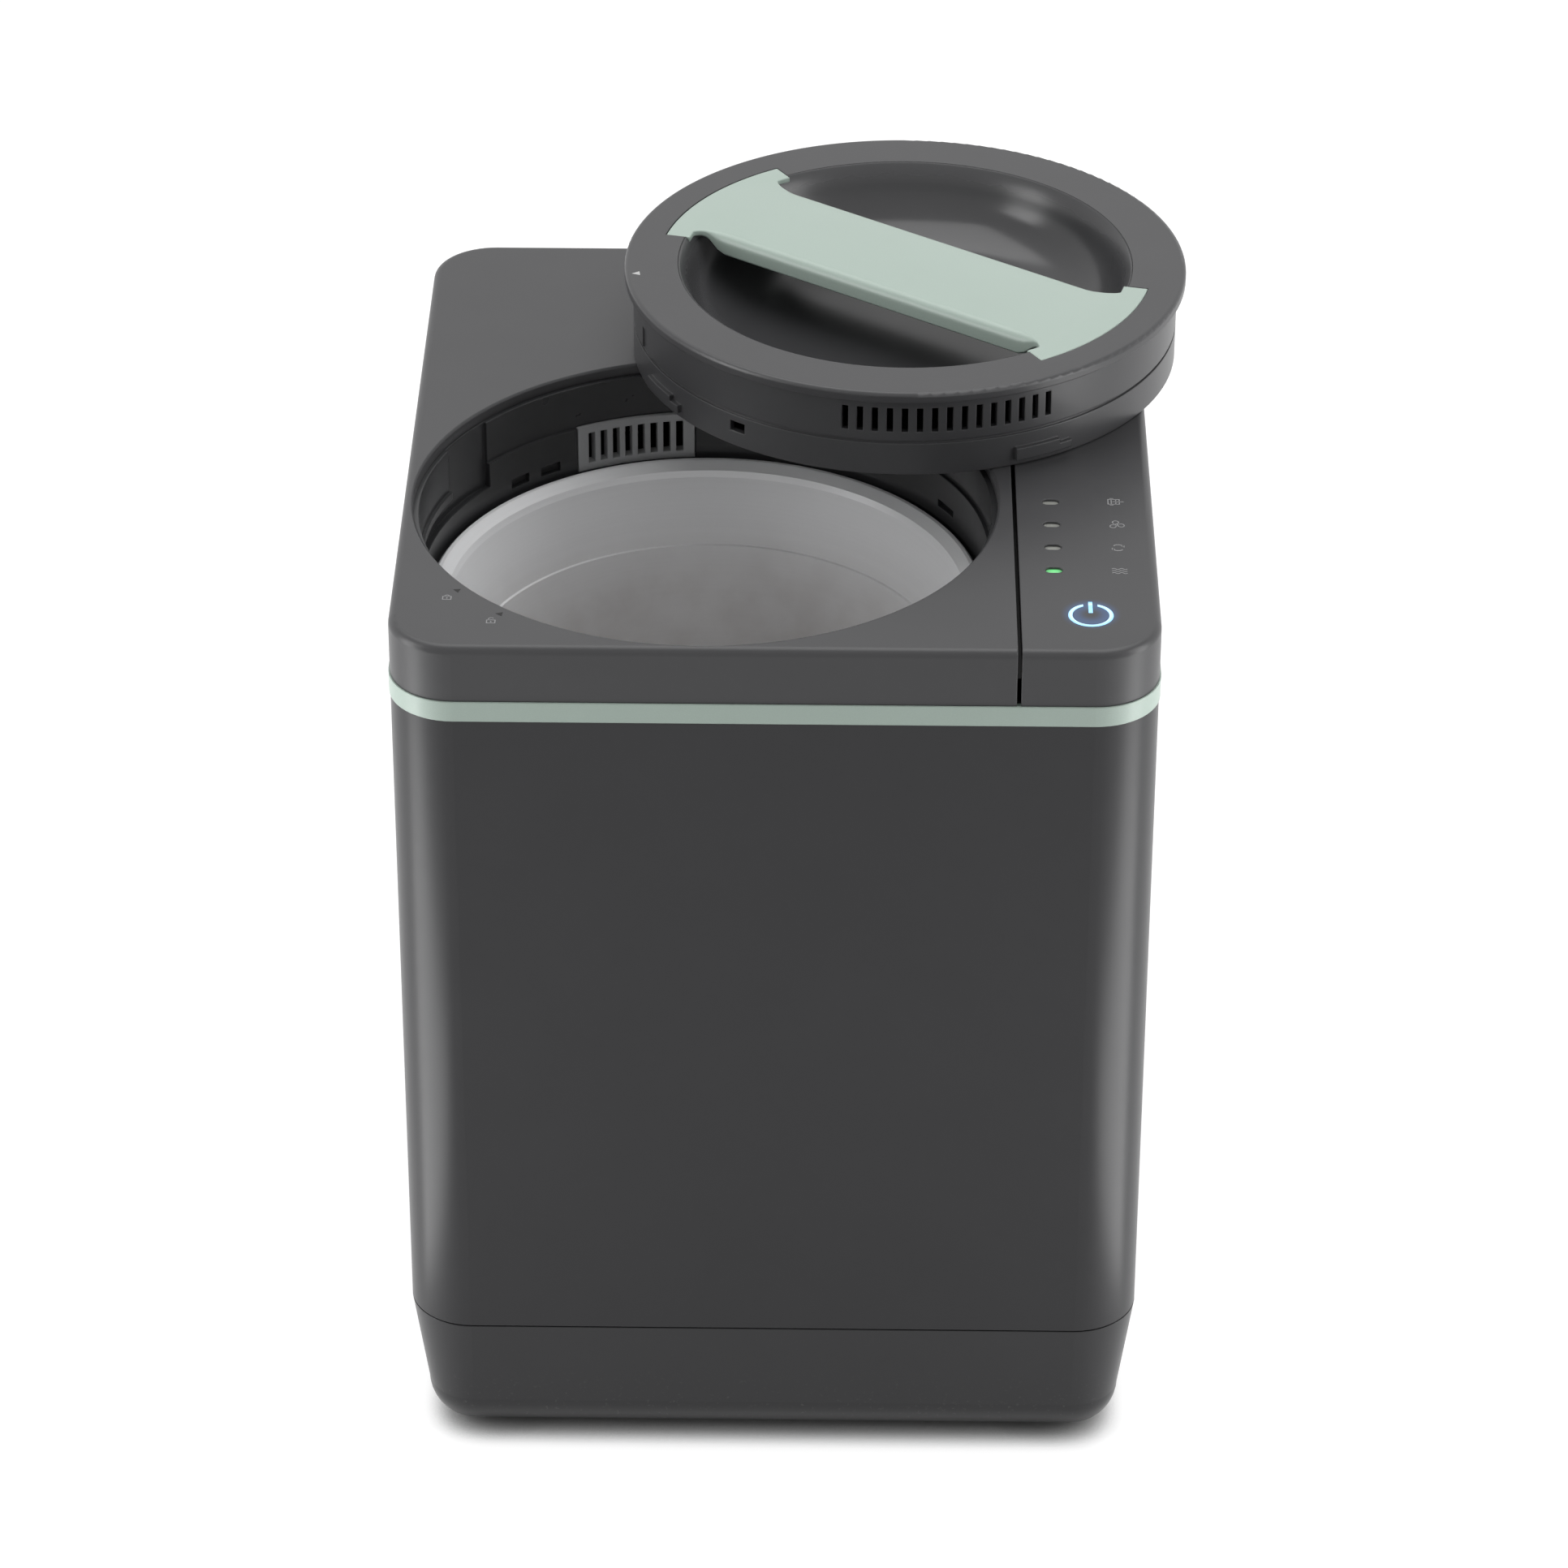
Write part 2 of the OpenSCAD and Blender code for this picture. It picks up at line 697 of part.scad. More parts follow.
module spur_gear(n, m, h, turn) {
    rp = n * m / 2;
    rb = rp * cos(PRESSURE);
    root = rp - 1.2 * m;
    tip = rp + 0.9 * m;
    back = 0.05 * m * 180 / (PI * rp);
    radii = [root, max(rb, root) + 0.05 * m, rp, tip];
    points = [for (k = [0:n - 1]) each concat(
        [for (i = [0:3]) let (a = turn + k * 360 / n - half_tooth(radii[i], rb, n, back))
            radii[i] * [cos(a), sin(a)]],
        [for (i = [3:-1:0]) let (a = turn + k * 360 / n + half_tooth(radii[i], rb, n, back))
            radii[i] * [cos(a), sin(a)]])];
    linear_extrude(h) polygon(points);
}

module output_gear() {
    n = wheel_teeth;
    color([0.86, 0.85, 0.8]) translate([ox, oy, out_gear_z]) difference() {
        union() {
            spur_gear(n, module_out, out_face, 0);
            translate([0, 0, -6]) cylinder(r = shaft_r + 5, h = out_face + 8);
        }
        translate([0, 0, -BIG / 2]) cylinder(r = shaft_r, h = BIG);
        // web lightened by six round holes
        for (a = [30:60:330]) rotate([0, 0, a]) translate([26, 0, -1]) cylinder(r = 8, h = out_face + 2);
    }
}

module output_shaft() {
    color([0.7, 0.7, 0.72]) translate([ox, oy, 0]) {
        translate([0, 0, box_z + 2.3]) cylinder(r = shaft_r, h = dog_z - box_z - 2.3);
        translate([0, 0, dog_z]) cylinder(r = dog_r, h = dog_top_z - dog_z, $fn = 6);
    }
}

module idler_gear() {
    color([0.86, 0.85, 0.8]) translate([idler_x, oy, idler_z]) difference() {
        union() {
            spur_gear(wheel_teeth, module_in, idler_face, motor_dir);
            translate([0, 0, idler_face]) spur_gear(pinion_teeth, module_out, out_face + 3,
                180 + 180 / pinion_teeth);
            translate([0, 0, -1.6]) cylinder(r = pin_r + 3, h = 4);
        }
        translate([0, 0, -5]) cylinder(r = pin_r + RUN, h = 60);
        for (a = [0:60:300]) rotate([0, 0, a]) translate([20, 0, -1]) cylinder(r = 5, h = idler_face + 2);
    }
}

module motor_pinion() {
    color([0.8, 0.7, 0.4]) translate([motor_x, motor_y, idler_z - 1]) difference() {
        spur_gear(pinion_teeth, module_in, idler_face + 2, motor_dir + 180 + 180 / pinion_teeth);
        translate([0, 0, -1]) cylinder(r = 2.5, h = 20);
    }
}

module motor_rotor() {
    color([0.6, 0.6, 0.62]) translate([motor_x, motor_y, 0]) {
        translate([0, 0, deck_z - motor_h + 3]) cylinder(r = 2.5, h = motor_h - 3 + idler_z + idler_face - deck_z);
        translate([0, 0, deck_z - motor_h + 14]) cylinder(r = motor_r - 9, h = motor_h - 28);
    }
}

module motor_can() {
    color([0.3, 0.3, 0.32]) translate([motor_x, motor_y, deck_z - motor_h]) difference() {
        union() {
            cylinder(r = motor_r, h = motor_h - 8);
            translate([0, 0, motor_h - 8]) cylinder(r = motor_r - 3, h = 8);
            for (a = [0, 180]) rotate([0, 0, a + motor_dir]) translate([motor_r - 4, -6, motor_h - 3])
                cube([10, 12, 3]);
            for (a = [0, 180]) rotate([0, 0, a + 90]) translate([12, -3, -5]) cube([1, 6, 6]);
        }
        translate([0, 0, 8]) cylinder(r = motor_r - 5, h = motor_h - 16);
        translate([0, 0, 2]) cylinder(r = 2.5 + RUN, h = motor_h);
        for (a = [0:45:315]) rotate([0, 0, a]) translate([motor_r - 8, -3, 14]) cube([12, 6, 8]);
    }
}

/* Electronics */
module power_board() {
    lift = 6;
    color([0.1, 0.3, 0.2]) translate([-62, half_d - 83.5, base_z + wall + lift]) {
        difference() {
            cube([124, 58, 1.6]);
            for (x = [5, 119], y = [5, 53]) translate([x, y, -1]) cylinder(r = 1.6, h = 4);
        }
        translate([8, 10, 1]) cube([34, 30, 26]);
        for (k = [0:2]) translate([58 + k * 15, 16, 1]) cylinder(r = 6.4, h = 24);
        translate([52, 34, 1]) cube([38, 16, 18]);
        translate([98, 30, 1]) cube([18, 20, 15]);
        for (x = [5, 119], y = [5, 53]) translate([x, y, SEAT - lift]) difference() {
            cylinder(r = 3.4, h = lift + 0.1);
            translate([0, 0, -1]) cylinder(r = 1.6, h = 10);
        }
    }
}

/* Air path and filters */
// Flat panels set edge to edge, with a compartment for each filter
module filter_bay() {
    g = 0.05;
    x1 = bay_w / 2;
    z0 = bay_z + bay_wall + g;
    wall_h = bay_h - 2 * bay_wall - 2 * g;
    y0 = bay_front + bay_wall + g;
    color([0.24, 0.24, 0.25]) {
        translate([-x1, bay_front, bay_z]) cube([bay_w, bay_d, bay_wall]);
        translate([-x1, bay_front, z0]) cube([bay_w, bay_wall, wall_h]);
        for (x = [-x1, x1 - bay_wall]) translate([x, y0, z0])
            cube([bay_wall, bay_back - y0, wall_h]);
        // divider, low enough for the air to pass over it and clear of the finger pull
        translate([-bay_wall / 2, y0, z0]) cube([bay_wall, bay_back - 8 - y0, fan_z - 16 - z0]);
        // roof with the fan's outlet
        difference() {
            translate([-x1, bay_front, fan_z - bay_wall]) cube([bay_w, bay_d, bay_wall]);
            translate([fan_x, fan_y, fan_z - bay_wall - 1]) cylinder(r = fan_r - 1, h = 5);
        }
        // brackets down to the base tray
        for (x = [-x1 + 6, x1 - 12]) translate([x, bay_front + 6, base_z + wall + SEAT])
            cube([6, 20, bay_z - g - base_z - wall - SEAT]);
    }
}

module exhaust_duct() {
    gx = ox + (well_out_r + 1) * cos(grille_mid);
    w = 50;
    y0 = oy + well_out_r * sin(grille_mid) - 6;
    x1 = fan_x + fan_side / 2;
    x0 = fan_x - fan_side / 2;
    color([0.3, 0.3, 0.31]) difference() {
        union() {
            translate([x0, fan_y - fan_side / 2, duct_z0 + SEAT])
                cube([fan_side, fan_side, duct_z1 - duct_z0]);
            translate([gx - w / 2, y0, grille_z0 - 3])
                cube([w, fan_y - fan_side / 2 - y0 + 2, duct_z1 - grille_z0 + 3 + SEAT]);
        }
        translate([x0 + duct_t, fan_y - fan_side / 2 + duct_t, duct_z0 - 1])
            cube([fan_side - 2 * duct_t, fan_side - 2 * duct_t, duct_z1 - duct_z0 + 1 - duct_t]);
        translate([gx - w / 2 + duct_t, y0 - 1, grille_z0 - 1])
            cube([w - 2 * duct_t, fan_y - fan_side / 2 - y0 + 8, duct_z1 - grille_z0 - 1]);
        at_well(grille_z0 - 8) cylinder(r = well_out_r + SEAT, h = 60);
    }
}

module fan_frame() {
    color([0.12, 0.12, 0.13]) translate([fan_x, fan_y, fan_z]) difference() {
        union() {
            difference() {
                translate([0, 0, 0]) linear_extrude(fan_h) round_rect(fan_side, fan_side, 6);
                translate([0, 0, -1]) cylinder(r = fan_r + 1.5, h = fan_h + 2);
            }
            // motor cup on four struts
            cylinder(r = hub_r - 1, h = 3);
            for (a = [45:90:315]) rotate([0, 0, a]) translate([hub_r - 3, -1.5, 0])
                cube([fan_r - hub_r + 6, 3, 2.5]);
            cylinder(r = 2, h = 10);
        }
        for (x = [-1, 1], y = [-1, 1]) translate([x * (fan_side / 2 - 5), y * (fan_side / 2 - 5), -1])
            cylinder(r = 2.1, h = fan_h + 2);
    }
}

module fan_wheel() {
    blades = 7;
    color([0.12, 0.12, 0.13]) translate([fan_x, fan_y, fan_z]) difference() {
        intersection() {
            union() {
                translate([0, 0, 3.4]) cylinder(r = hub_r, h = fan_h - 4.4);
                for (k = [0:blades - 1]) rotate([0, 0, k * 360 / blades])
                    translate([hub_r - 2, 0, 3.4 + (fan_h - 4.4) / 2]) rotate([38, 0, 0])
                        translate([0, -8, -0.7]) cube([fan_r, 16, 1.4]);
            }
            translate([0, 0, 3.4]) cylinder(r = fan_r, h = fan_h - 4.4);
        }
        translate([0, 0, -1]) cylinder(r = 2 + RUN, h = 11.2);
        translate([0, 0, 3]) ring(hub_r - 1.6, 5, 8);
    }
}

module filter_cartridge(s) {
    x0 = s * bay_w / 4 + s * bay_wall * 0.25;
    z0 = bay_z + bay_wall + SEAT;
    y0 = bay_front + bay_wall + SEAT;
    color([0.16, 0.16, 0.17]) translate([x0, y0, z0]) difference() {
        union() {
            translate([0, filter_d / 2, 0]) linear_extrude(filter_h)
                round_rect(filter_w, filter_d, 8);
            // pull tab
            translate([-14, filter_d - 0.5, filter_h - 26]) cube([28, 3, 4]);
        }
        // slotted air faces, left and right of the middle rib, front and back
        for (k = [0:10]) translate([0, -1, 16 + k * 11.5]) {
            for (x = [-filter_w / 2 + 10, 3]) translate([x, 0, 0])
                cube([filter_w / 2 - 13, 4, k * 11.5 > filter_h - 56 ? 0.01 : 5]);
        }
        translate([0, filter_d + 1.5, 12]) rotate([90, 0, 0]) linear_extrude(3.5)
            translate([0, filter_h / 2 - 22]) round_rect(filter_w - 18, filter_h - 56, 6);
    }
}

module filter_left() { filter_cartridge(-1); }

module filter_right() { filter_cartridge(1); }

pull_w = 46;
pull_h = 14;
pull_d = 6;

// Cover that lies on the rear wall, with a rim that meets the filter bay's mouth
module rear_cover() {
    zc = rear_z + rear_h / 2;
    y0 = half_d + SEAT;
    pull_z = bay_z + bay_h - 27;
    rim_y = bay_back + SEAT;
    rim_d = y0 - cover_slit - rim_y;
    // depth of the pocket's walls behind the plate, and where its back lies
    pocket_y = y0 + wall - pull_d - pocket_t;
    pocket_d = y0 - pocket_y - pocket_t - 2 * cover_slit;
    color([0.22, 0.22, 0.23]) {
        difference() {
            translate([0, y0, zc]) rotate([-90, 0, 0])
                linear_extrude(wall) round_rect(rear_w + 2 * cover_lap, rear_h + 2 * cover_lap, 6);
            translate([-pull_w / 2, y0 - 1, pull_z]) cube([pull_w, wall + 2, pull_h]);
            // outlet louvres in two banks
            for (s = [-1, 1], k = [-6:6]) translate([s * bay_w / 4 + k * 5.6 - 1.6, y0 - 1, zc - 62])
                cube([3.2, wall + 2, 96]);
        }
        for (s = [-1, 1]) {
            // rim of four bars that meets the mouth of the filter bay
            translate([s * (bay_w - bay_wall) / 2 - bay_wall / 2, rim_y, zc - bay_h / 2])
                cube([bay_wall, rim_d, bay_h]);
            translate([-bay_w / 2 + bay_wall + cover_slit, rim_y,
                    zc + s * (bay_h - bay_wall) / 2 - bay_wall / 2])
                cube([bay_w - 2 * bay_wall - 2 * cover_slit, rim_d, bay_wall]);
            // cheeks, floor and roof of the pocket behind the finger pull
            translate([s * (pull_w + pocket_t) / 2 - pocket_t / 2,
                    pocket_y + pocket_t + cover_slit, pull_z])
                cube([pocket_t, pocket_d, pull_h]);
            translate([-pull_w / 2 - pocket_t, pocket_y + pocket_t + cover_slit,
                    pull_z + pull_h / 2 + s * (pull_h / 2 + pocket_t / 2 + cover_slit) - pocket_t / 2])
                cube([pull_w + 2 * pocket_t, pocket_d, pocket_t]);
        }
        // back of the pocket
        translate([-pull_w / 2 - pocket_t, pocket_y, pull_z - pocket_t])
            cube([pull_w + 2 * pocket_t, pocket_t, pull_h + 2 * pocket_t]);
    }
}

/* Mains inlet */
pin_places = [[-7, -1.6], [7, -1.6], [0, 2.4]];

module pin_blades(y0, y1) {
    for (p = pin_places) translate([inlet_x + p.x - 1, half_d + y0, inlet_z + p.y - 2])
        cube([2, y1 - y0, 4]);
}

module mains_inlet() {
    color([0.08, 0.08, 0.08]) difference() {
        translate([inlet_x, half_d, inlet_z]) rotate([-90, 0, 0]) {
            translate([0, 0, -24]) linear_extrude(24.6) round_rect(inlet_w, inlet_h, 4);
            translate([0, 0, SEAT / 2]) linear_extrude(1.2) round_rect(inlet_w + 4, inlet_h + 4, 5);
        }
        translate([inlet_x, half_d, inlet_z]) rotate([-90, 0, 0])
            translate([0, 0, -20]) linear_extrude(25) intersection() {
                round_rect(24.4, 17, 2);
                rotate([0, 0, 45]) square([25, 25], center = true);
            }
        pin_blades(-30, -15);
    }
}

module inlet_pins() {
    color("silver") pin_blades(-28, -7);
}

module lid_switch() {
    a = 60 + slot_sweep - 6;
    color([0.15, 0.15, 0.16]) at_well() rotate([0, 0, a]) translate([well_out_r + SEAT, -10, rim_z + 6]) {
        cube([7, 20, 11]);
        translate([7 - 0.5, -2, 2]) cube([0.8, 24, 6]);
    }
}

/* Bucket */
line_z = bucket_floor_z + 0.72 * bucket_depth;
line_r = bucket_floor_r + 0.72 * (rim_in_r - bucket_floor_r);
curve_r = bucket_floor_r + 2.4;
curve_z = bucket_floor_z + 6;
function bucket_r(z) = curve_r + (z - curve_z) * (line_r - 0.9 - curve_r) / (line_z - 0.2 - curve_z);

module bucket_profile() {
    zf = bucket_floor_z;
    zt = rim_z;
    r0 = bucket_floor_r;
    r1 = rim_in_r;
    polygon([[auger_shaft_r + 3, zf - 3], [r0 - 6, zf - 3], [r0 - 5, zf - 4], [r0 - 1, zf - 4],
        [r0 + bucket_t, zf - 1.5], [r1 + bucket_t - 0.6, zt - 6], [well_low_r - 0.7, zt - 4.4],
        [well_low_r - 0.7, zt - 3.3], [rim_r, zt - 3.3], [rim_r, zt - 1], [rim_r - 1, zt],
        [rim_r - 2.4, zt], [r1 + 0.6, zt - 2.6], [r1 - 0.4, zt - 5],
        [line_r, line_z], [line_r - 0.9, line_z - 0.2],
        [curve_r, curve_z], [r0 - 3, zf + 1.2], [r0 - 6, zf], [auger_shaft_r + 3, zf]]);
}

module bucket() {
    color([0.86, 0.865, 0.87]) at_well() rotate_extrude() bucket_profile();
}

module bucket_bush() {
    color("goldenrod") at_well(bucket_foot_z + 0.6) difference() {
        union() {
            cylinder(r = auger_shaft_r + 3, h = collar_z - bucket_foot_z - 0.6);
            translate([0, 0, bucket_floor_z - bucket_foot_z - 0.6]) cylinder(r = auger_shaft_r + 6, h = 2);
        }
        translate([0, 0, -1]) cylinder(r = auger_shaft_r + RUN, h = 30);
    }
}

bar_z = 24;
bar_h = 10;

module grinding_bars() {
    color([0.8, 0.8, 0.82]) at_well() intersection() {
        for (a = [40, 160, 280]) rotate([0, 0, a])
            translate([bucket_floor_r - 25, -4, bucket_floor_z + bar_z]) difference() {
                cube([60, 8, bar_h]);
                translate([-1, -1, bar_h]) rotate([0, 18, 0]) cube([30, 10, 12]);
            }
        translate([0, 0, curve_z]) cylinder(r1 = bucket_r(curve_z) - 0.1,
            r2 = bucket_r(line_z - 1) - 0.1, h = line_z - 1 - curve_z);
    }
}

// One auger arm: a crescent with a blunt nose
module arm(reach, width, bend) {
    intersection() {
        difference() {
            translate([0, -bend]) circle(reach * 0.62 + bend);
            translate([-width * 0.2, -bend - width]) circle(reach * 0.62 + bend);
        }
        translate([0, -BIG / 2]) square([reach, BIG]);
        circle(reach);
    }
}

module auger() {
    hub_z = collar_z + 0.6;
    color([0.7, 0.71, 0.72]) at_well() difference() {
        union() {
            translate([0, 0, bucket_foot_z + 1]) cylinder(r = auger_shaft_r, h = hub_z - bucket_foot_z);
            translate([0, 0, hub_z]) cylinder(r1 = 19, r2 = 13, h = 26);
            translate([0, 0, hub_z + 26]) intersection() {
                translate([0, 0, -6]) sphere(r = 14.3);
                cylinder(r = 13, h = 12);
            }
            // three low arms sweep under the bars, two high arms over them
            for (k = [0:2]) rotate([0, 0, k * 120]) translate([0, 0, hub_z + 0.4])
                linear_extrude(10) translate([0, -14]) sweep_arm(bucket_floor_r - 7, 13);
            for (k = [0:1]) rotate([0, 0, 60 + k * 180]) translate([0, 0, hub_z + 28])
                linear_extrude(6) translate([0, -5]) sweep_arm(bucket_floor_r - 29, 9);
        }
        translate([0, 0, bucket_foot_z]) cylinder(r = dog_r + 0.35, h = dog_top_z + 0.6 - bucket_foot_z, $fn = 6);
    }
}

// Curved arm from the hub, drawn as a slice of a ring
module sweep_arm(reach, width) {
    rr = reach * 0.9;
    translate([0, 0]) intersection() {
        translate([0, rr]) difference() {
            circle(rr + width / 2);
            circle(rr - width / 2);
        }
        translate([0, -width]) square([reach * 0.8, reach]);
    }
}

/* Lid, drawn upright about its own axis and set down where it lies */
module lid_place() { translate([lid_x, lid_y, top_z + SEAT]) children(); }

skirt_r = well_r - 0.5;
skirt_t = 2.5;
flange_t = 4;
lid_r = open_r - lid_play;
bowl_r = lid_r - flange_w;
bowl_z = 8;
plate_r = bowl_r + 7.5;

module lid_shell() {
    t = 2.4;
    h = lid_h;
    color([0.34, 0.34, 0.35]) lid_place() difference() {
        rotate_extrude() difference() {
            union() {
                // flange with a rounded rim
                translate([bowl_r - 2, h - flange_t]) square([lid_r - bowl_r + 2 - 1.5, flange_t]);
                translate([bowl_r - 2, h - flange_t]) square([lid_r - bowl_r + 2, flange_t - 1.5]);
                translate([lid_r - 1.5, h - 1.5]) circle(1.5);
                // locating rib inside the skirt
                translate([skirt_r - skirt_t - 2.2, h - flange_t - 4]) square([2, 4.5]);
                // outside of the bowl
                polygon([[0, bowl_z - t], [bowl_r - 38, bowl_z - t],
                    [bowl_r - 22, bowl_z - t + 1.2], [bowl_r - 10, bowl_z + 5],
                    [bowl_r - 2, bowl_z + 14], [bowl_r + t, h - flange_t + 0.5], [bowl_r + t, h - 1], [0, h - 1]]);
            }
            // inside of the bowl, with two fine steps below its edge
            polygon([[-1, bowl_z], [bowl_r - 38, bowl_z], [bowl_r - 23, bowl_z + 1.4],
                [bowl_r - 12, bowl_z + 6.4], [bowl_r - 5, bowl_z + 15], [bowl_r - 3.5, h - 5.4],
                [bowl_r - 2, h - 5.4], [bowl_r - 2, h - 2.4], [bowl_r, h - 2.4],
                [bowl_r, h + 1], [-1, h + 1]]);
        }
        // recesses that take the flared ends of the handle
        rotate([0, 0, handle_turn]) translate([0, 0, h - 3.3]) linear_extrude(6)
            handle_outline(0.25);
    }
}

flare_half = 22.5;

module handle_outline(grow) {
    w = handle_w / 2 + grow;
    fil = 7 - grow;
    xe = sqrt(pow(bowl_r - 2, 2) - pow(w, 2));
    intersection() {
        square([2 * plate_r, 2 * w], center = true);
        circle(plate_r + grow);
    }
    for (s = [0, 1]) mirror([s, 0]) {
        intersection() {
            difference() {
                circle(plate_r + grow);
                circle(bowl_r - 2 - grow);
            }
            polygon([[0, 0], [BIG / 2, -BIG / 2 * tan(flare_half) - grow],
                [BIG / 2, BIG / 2 * tan(flare_half) + grow]]);
        }
        for (m = [0, 1]) mirror([0, m]) difference() {
            translate([xe - fil, w - 0.5]) square([fil + 0.6, fil + 0.5]);
            translate([xe - fil, w + fil]) circle(fil);
        }
    }
}

module lid_handle() {
    h = lid_h;
    w = handle_w / 2;
    lip = 7;
    span = 2 * (bowl_r - 8);
    color([0.72, 0.78, 0.74]) lid_place() rotate([0, 0, handle_turn]) difference() {
        union() {
            translate([0, 0, h - 3]) linear_extrude(3) handle_outline(0);
            // rolled lips along both long edges
            intersection() {
                for (m = [0, 1]) mirror([0, m, 0]) translate([-span / 2, w, h])
                    rotate([90, 0, 90]) linear_extrude(span) difference() {
                        union() {
                            translate([-3, -lip]) square([3, lip - 2]);
                            translate([-1.5, -lip]) circle(1.5);
                            translate([-8, -4]) square([6, 2]);
                        }
                        translate([-8, -8.5]) circle(5);
                    }
                translate([0, 0, 0]) cylinder(r = bowl_r - 4.5, h = 60);
            }
        }
        // rounded top edges along the bar
        for (m = [0, 1]) mirror([0, m, 0]) translate([-span / 2 + 10, w, h]) rotate([90, 0, 90])
            linear_extrude(span - 20) difference() {
                translate([-2, -2]) square([3, 3]);
                translate([-2, -2]) circle(2);
            }
    }
}

lug_h = 5;

module lid_skirt() {
    top = lid_h - flange_t;
    groove_z = 13;
    color([0.3, 0.3, 0.31]) lid_place() difference() {
        union() {
            ring(skirt_r, skirt_r - skirt_t, top);
            // four bayonet lugs, each with a ramp step
            for (a = [-62, 28, 118, 208]) {
                translate([0, 0, 2.5]) ring_sector(skirt_r + 1.8, skirt_r - 1, a - 5, a + 5, lug_h);
                translate([0, 0, 2.5]) ring_sector(skirt_r + 1.8, skirt_r - 1, a + 4.9, a + 8, lug_h - 2);
            }
        }
        // groove between the upper wall and the bayonet ring
        translate([0, 0, groove_z]) ring(skirt_r + 3, skirt_r - 0.8, 1.2);
        // steam slots
        for (k = [0:steam_slots - 1]) rotate([0, 0, -81 + (k - (steam_slots - 1) / 2) * 3.07])
            translate([skirt_r - 6, -1.2, groove_z + 5]) cube([10, 2.4, 10]);
        // switch notch and the step beside it
        rotate([0, 0, -127]) translate([skirt_r - 6, -3.4, 6]) cube([10, 6.8, 4.2]);
        translate([0, 0, groove_z + 1]) ring_sector(skirt_r + 3, skirt_r - 0.7, -163, -160, 9);
    }
}

module lid_inner_plate() {
    color([0.26, 0.26, 0.27]) lid_place() {
        translate([0, 0, 2.4]) difference() {
            cylinder(r = skirt_r - skirt_t - 0.15, h = 2);
            for (a = [0:15:345]) rotate([0, 0, a]) translate([skirt_r - skirt_t - 18.8, -1.25, -1])
                cube([10, 2.5, 6]);
        }
        translate([0, 0, 4.3]) ring(32, 29.5, bowl_z - 2.4 - 4.3);
    }
}

module lid_gasket() {
    color([0.12, 0.12, 0.12]) lid_place() rotate_extrude() difference() {
        translate([skirt_r - skirt_t - 7, 0.4]) square([5, 2]);
        translate([skirt_r - skirt_t - 4.5, 0.4]) circle(0.9);
    }
}

base_tray();
rubber_feet();
base_screws();
housing();
trim_band();
top_cover();
panel_gap_strip();
control_panel();
indicator_lenses();
power_light_ring();
control_board();
well_liner();
air_grille();
heater_plate();
heating_ring();
thermostat();
shaft_seal();
deck_plate();
deck_posts();
gearbox_housing();
gearbox_cover();
gearbox_screws();
lower_bush();
upper_bush();
idler_pin();
output_gear();
output_shaft();
idler_gear();
motor_pinion();
motor_rotor();
motor_can();
power_board();
filter_bay();
exhaust_duct();
fan_frame();
fan_wheel();
mains_inlet();
inlet_pins();
lid_switch();
filter_left();
filter_right();
rear_cover();
bucket();
bucket_bush();
grinding_bars();
auger();
lid_shell();
lid_handle();
lid_skirt();
lid_inner_plate();
lid_gasket();
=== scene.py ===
# %% [markdown]
# # A countertop composter, dressed for its picture
# The shapes come from the packed model, which says where every rigid piece is and how it moves.
# Blender adds what a mould, a print shop and a lamp add: finishes, printed signs and light.
# The model could also be remodelled here from nothing, but then looks and motion would drift
# apart. So the frame is loaded first and dressed. Only two forms of the lid, its handle and its
# dish, are made again with softer roundings.

# %% Load the frame
import bpy, bmesh, math
from mathutils import Matrix, Vector


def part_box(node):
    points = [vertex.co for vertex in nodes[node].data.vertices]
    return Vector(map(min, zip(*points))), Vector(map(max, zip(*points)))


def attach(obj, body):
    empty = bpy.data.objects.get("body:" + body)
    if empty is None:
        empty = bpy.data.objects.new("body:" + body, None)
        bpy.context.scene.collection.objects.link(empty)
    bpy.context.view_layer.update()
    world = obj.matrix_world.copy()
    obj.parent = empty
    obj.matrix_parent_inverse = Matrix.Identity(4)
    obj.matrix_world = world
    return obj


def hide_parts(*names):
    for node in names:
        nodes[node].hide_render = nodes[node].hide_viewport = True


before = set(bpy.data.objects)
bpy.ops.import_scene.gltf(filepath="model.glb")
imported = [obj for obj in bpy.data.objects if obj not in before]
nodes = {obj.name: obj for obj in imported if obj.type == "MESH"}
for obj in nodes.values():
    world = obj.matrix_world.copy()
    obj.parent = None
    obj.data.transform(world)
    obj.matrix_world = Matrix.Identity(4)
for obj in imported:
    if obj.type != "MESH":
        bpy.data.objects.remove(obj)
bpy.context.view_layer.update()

MM = 0.001

# %% [markdown]
# ## Places that several finishes need
# The well is not in the middle of the machine: it sits left and forward of it, and the lid lies
# on the top cover, right and back. Turned rings, polish and prints are worked out from these
# two centres. They are measured on the model, so that they follow it.

# %% Centres and levels
def middle(node):
    low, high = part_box(node)
    return (low + high) / 2

def top_of(node):
    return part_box(node)[1].z

bucket_mid = middle("bucket")
lid_mid = middle("lid_gasket")
cover_top = top_of("top_cover")
lid_top = top_of("lid_shell")
lens_low, lens_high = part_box("indicator_lenses")
power_mid = middle("power_light_ring")
print("bucket axis", [round(v, 4) for v in bucket_mid.xy], "cover top", round(cover_top, 4))

# %% [markdown]
# ## The camera
# The photograph looks down on the machine by about 32 degrees from two metres away, through a
# long lens, so the sides narrow only a little towards the foot. A camera could be nudged until
# it looks right. Here its place and lens were solved from the measured edges, the round opening
# and the seam, which gives one answer with no shift, and it is built from those few numbers.

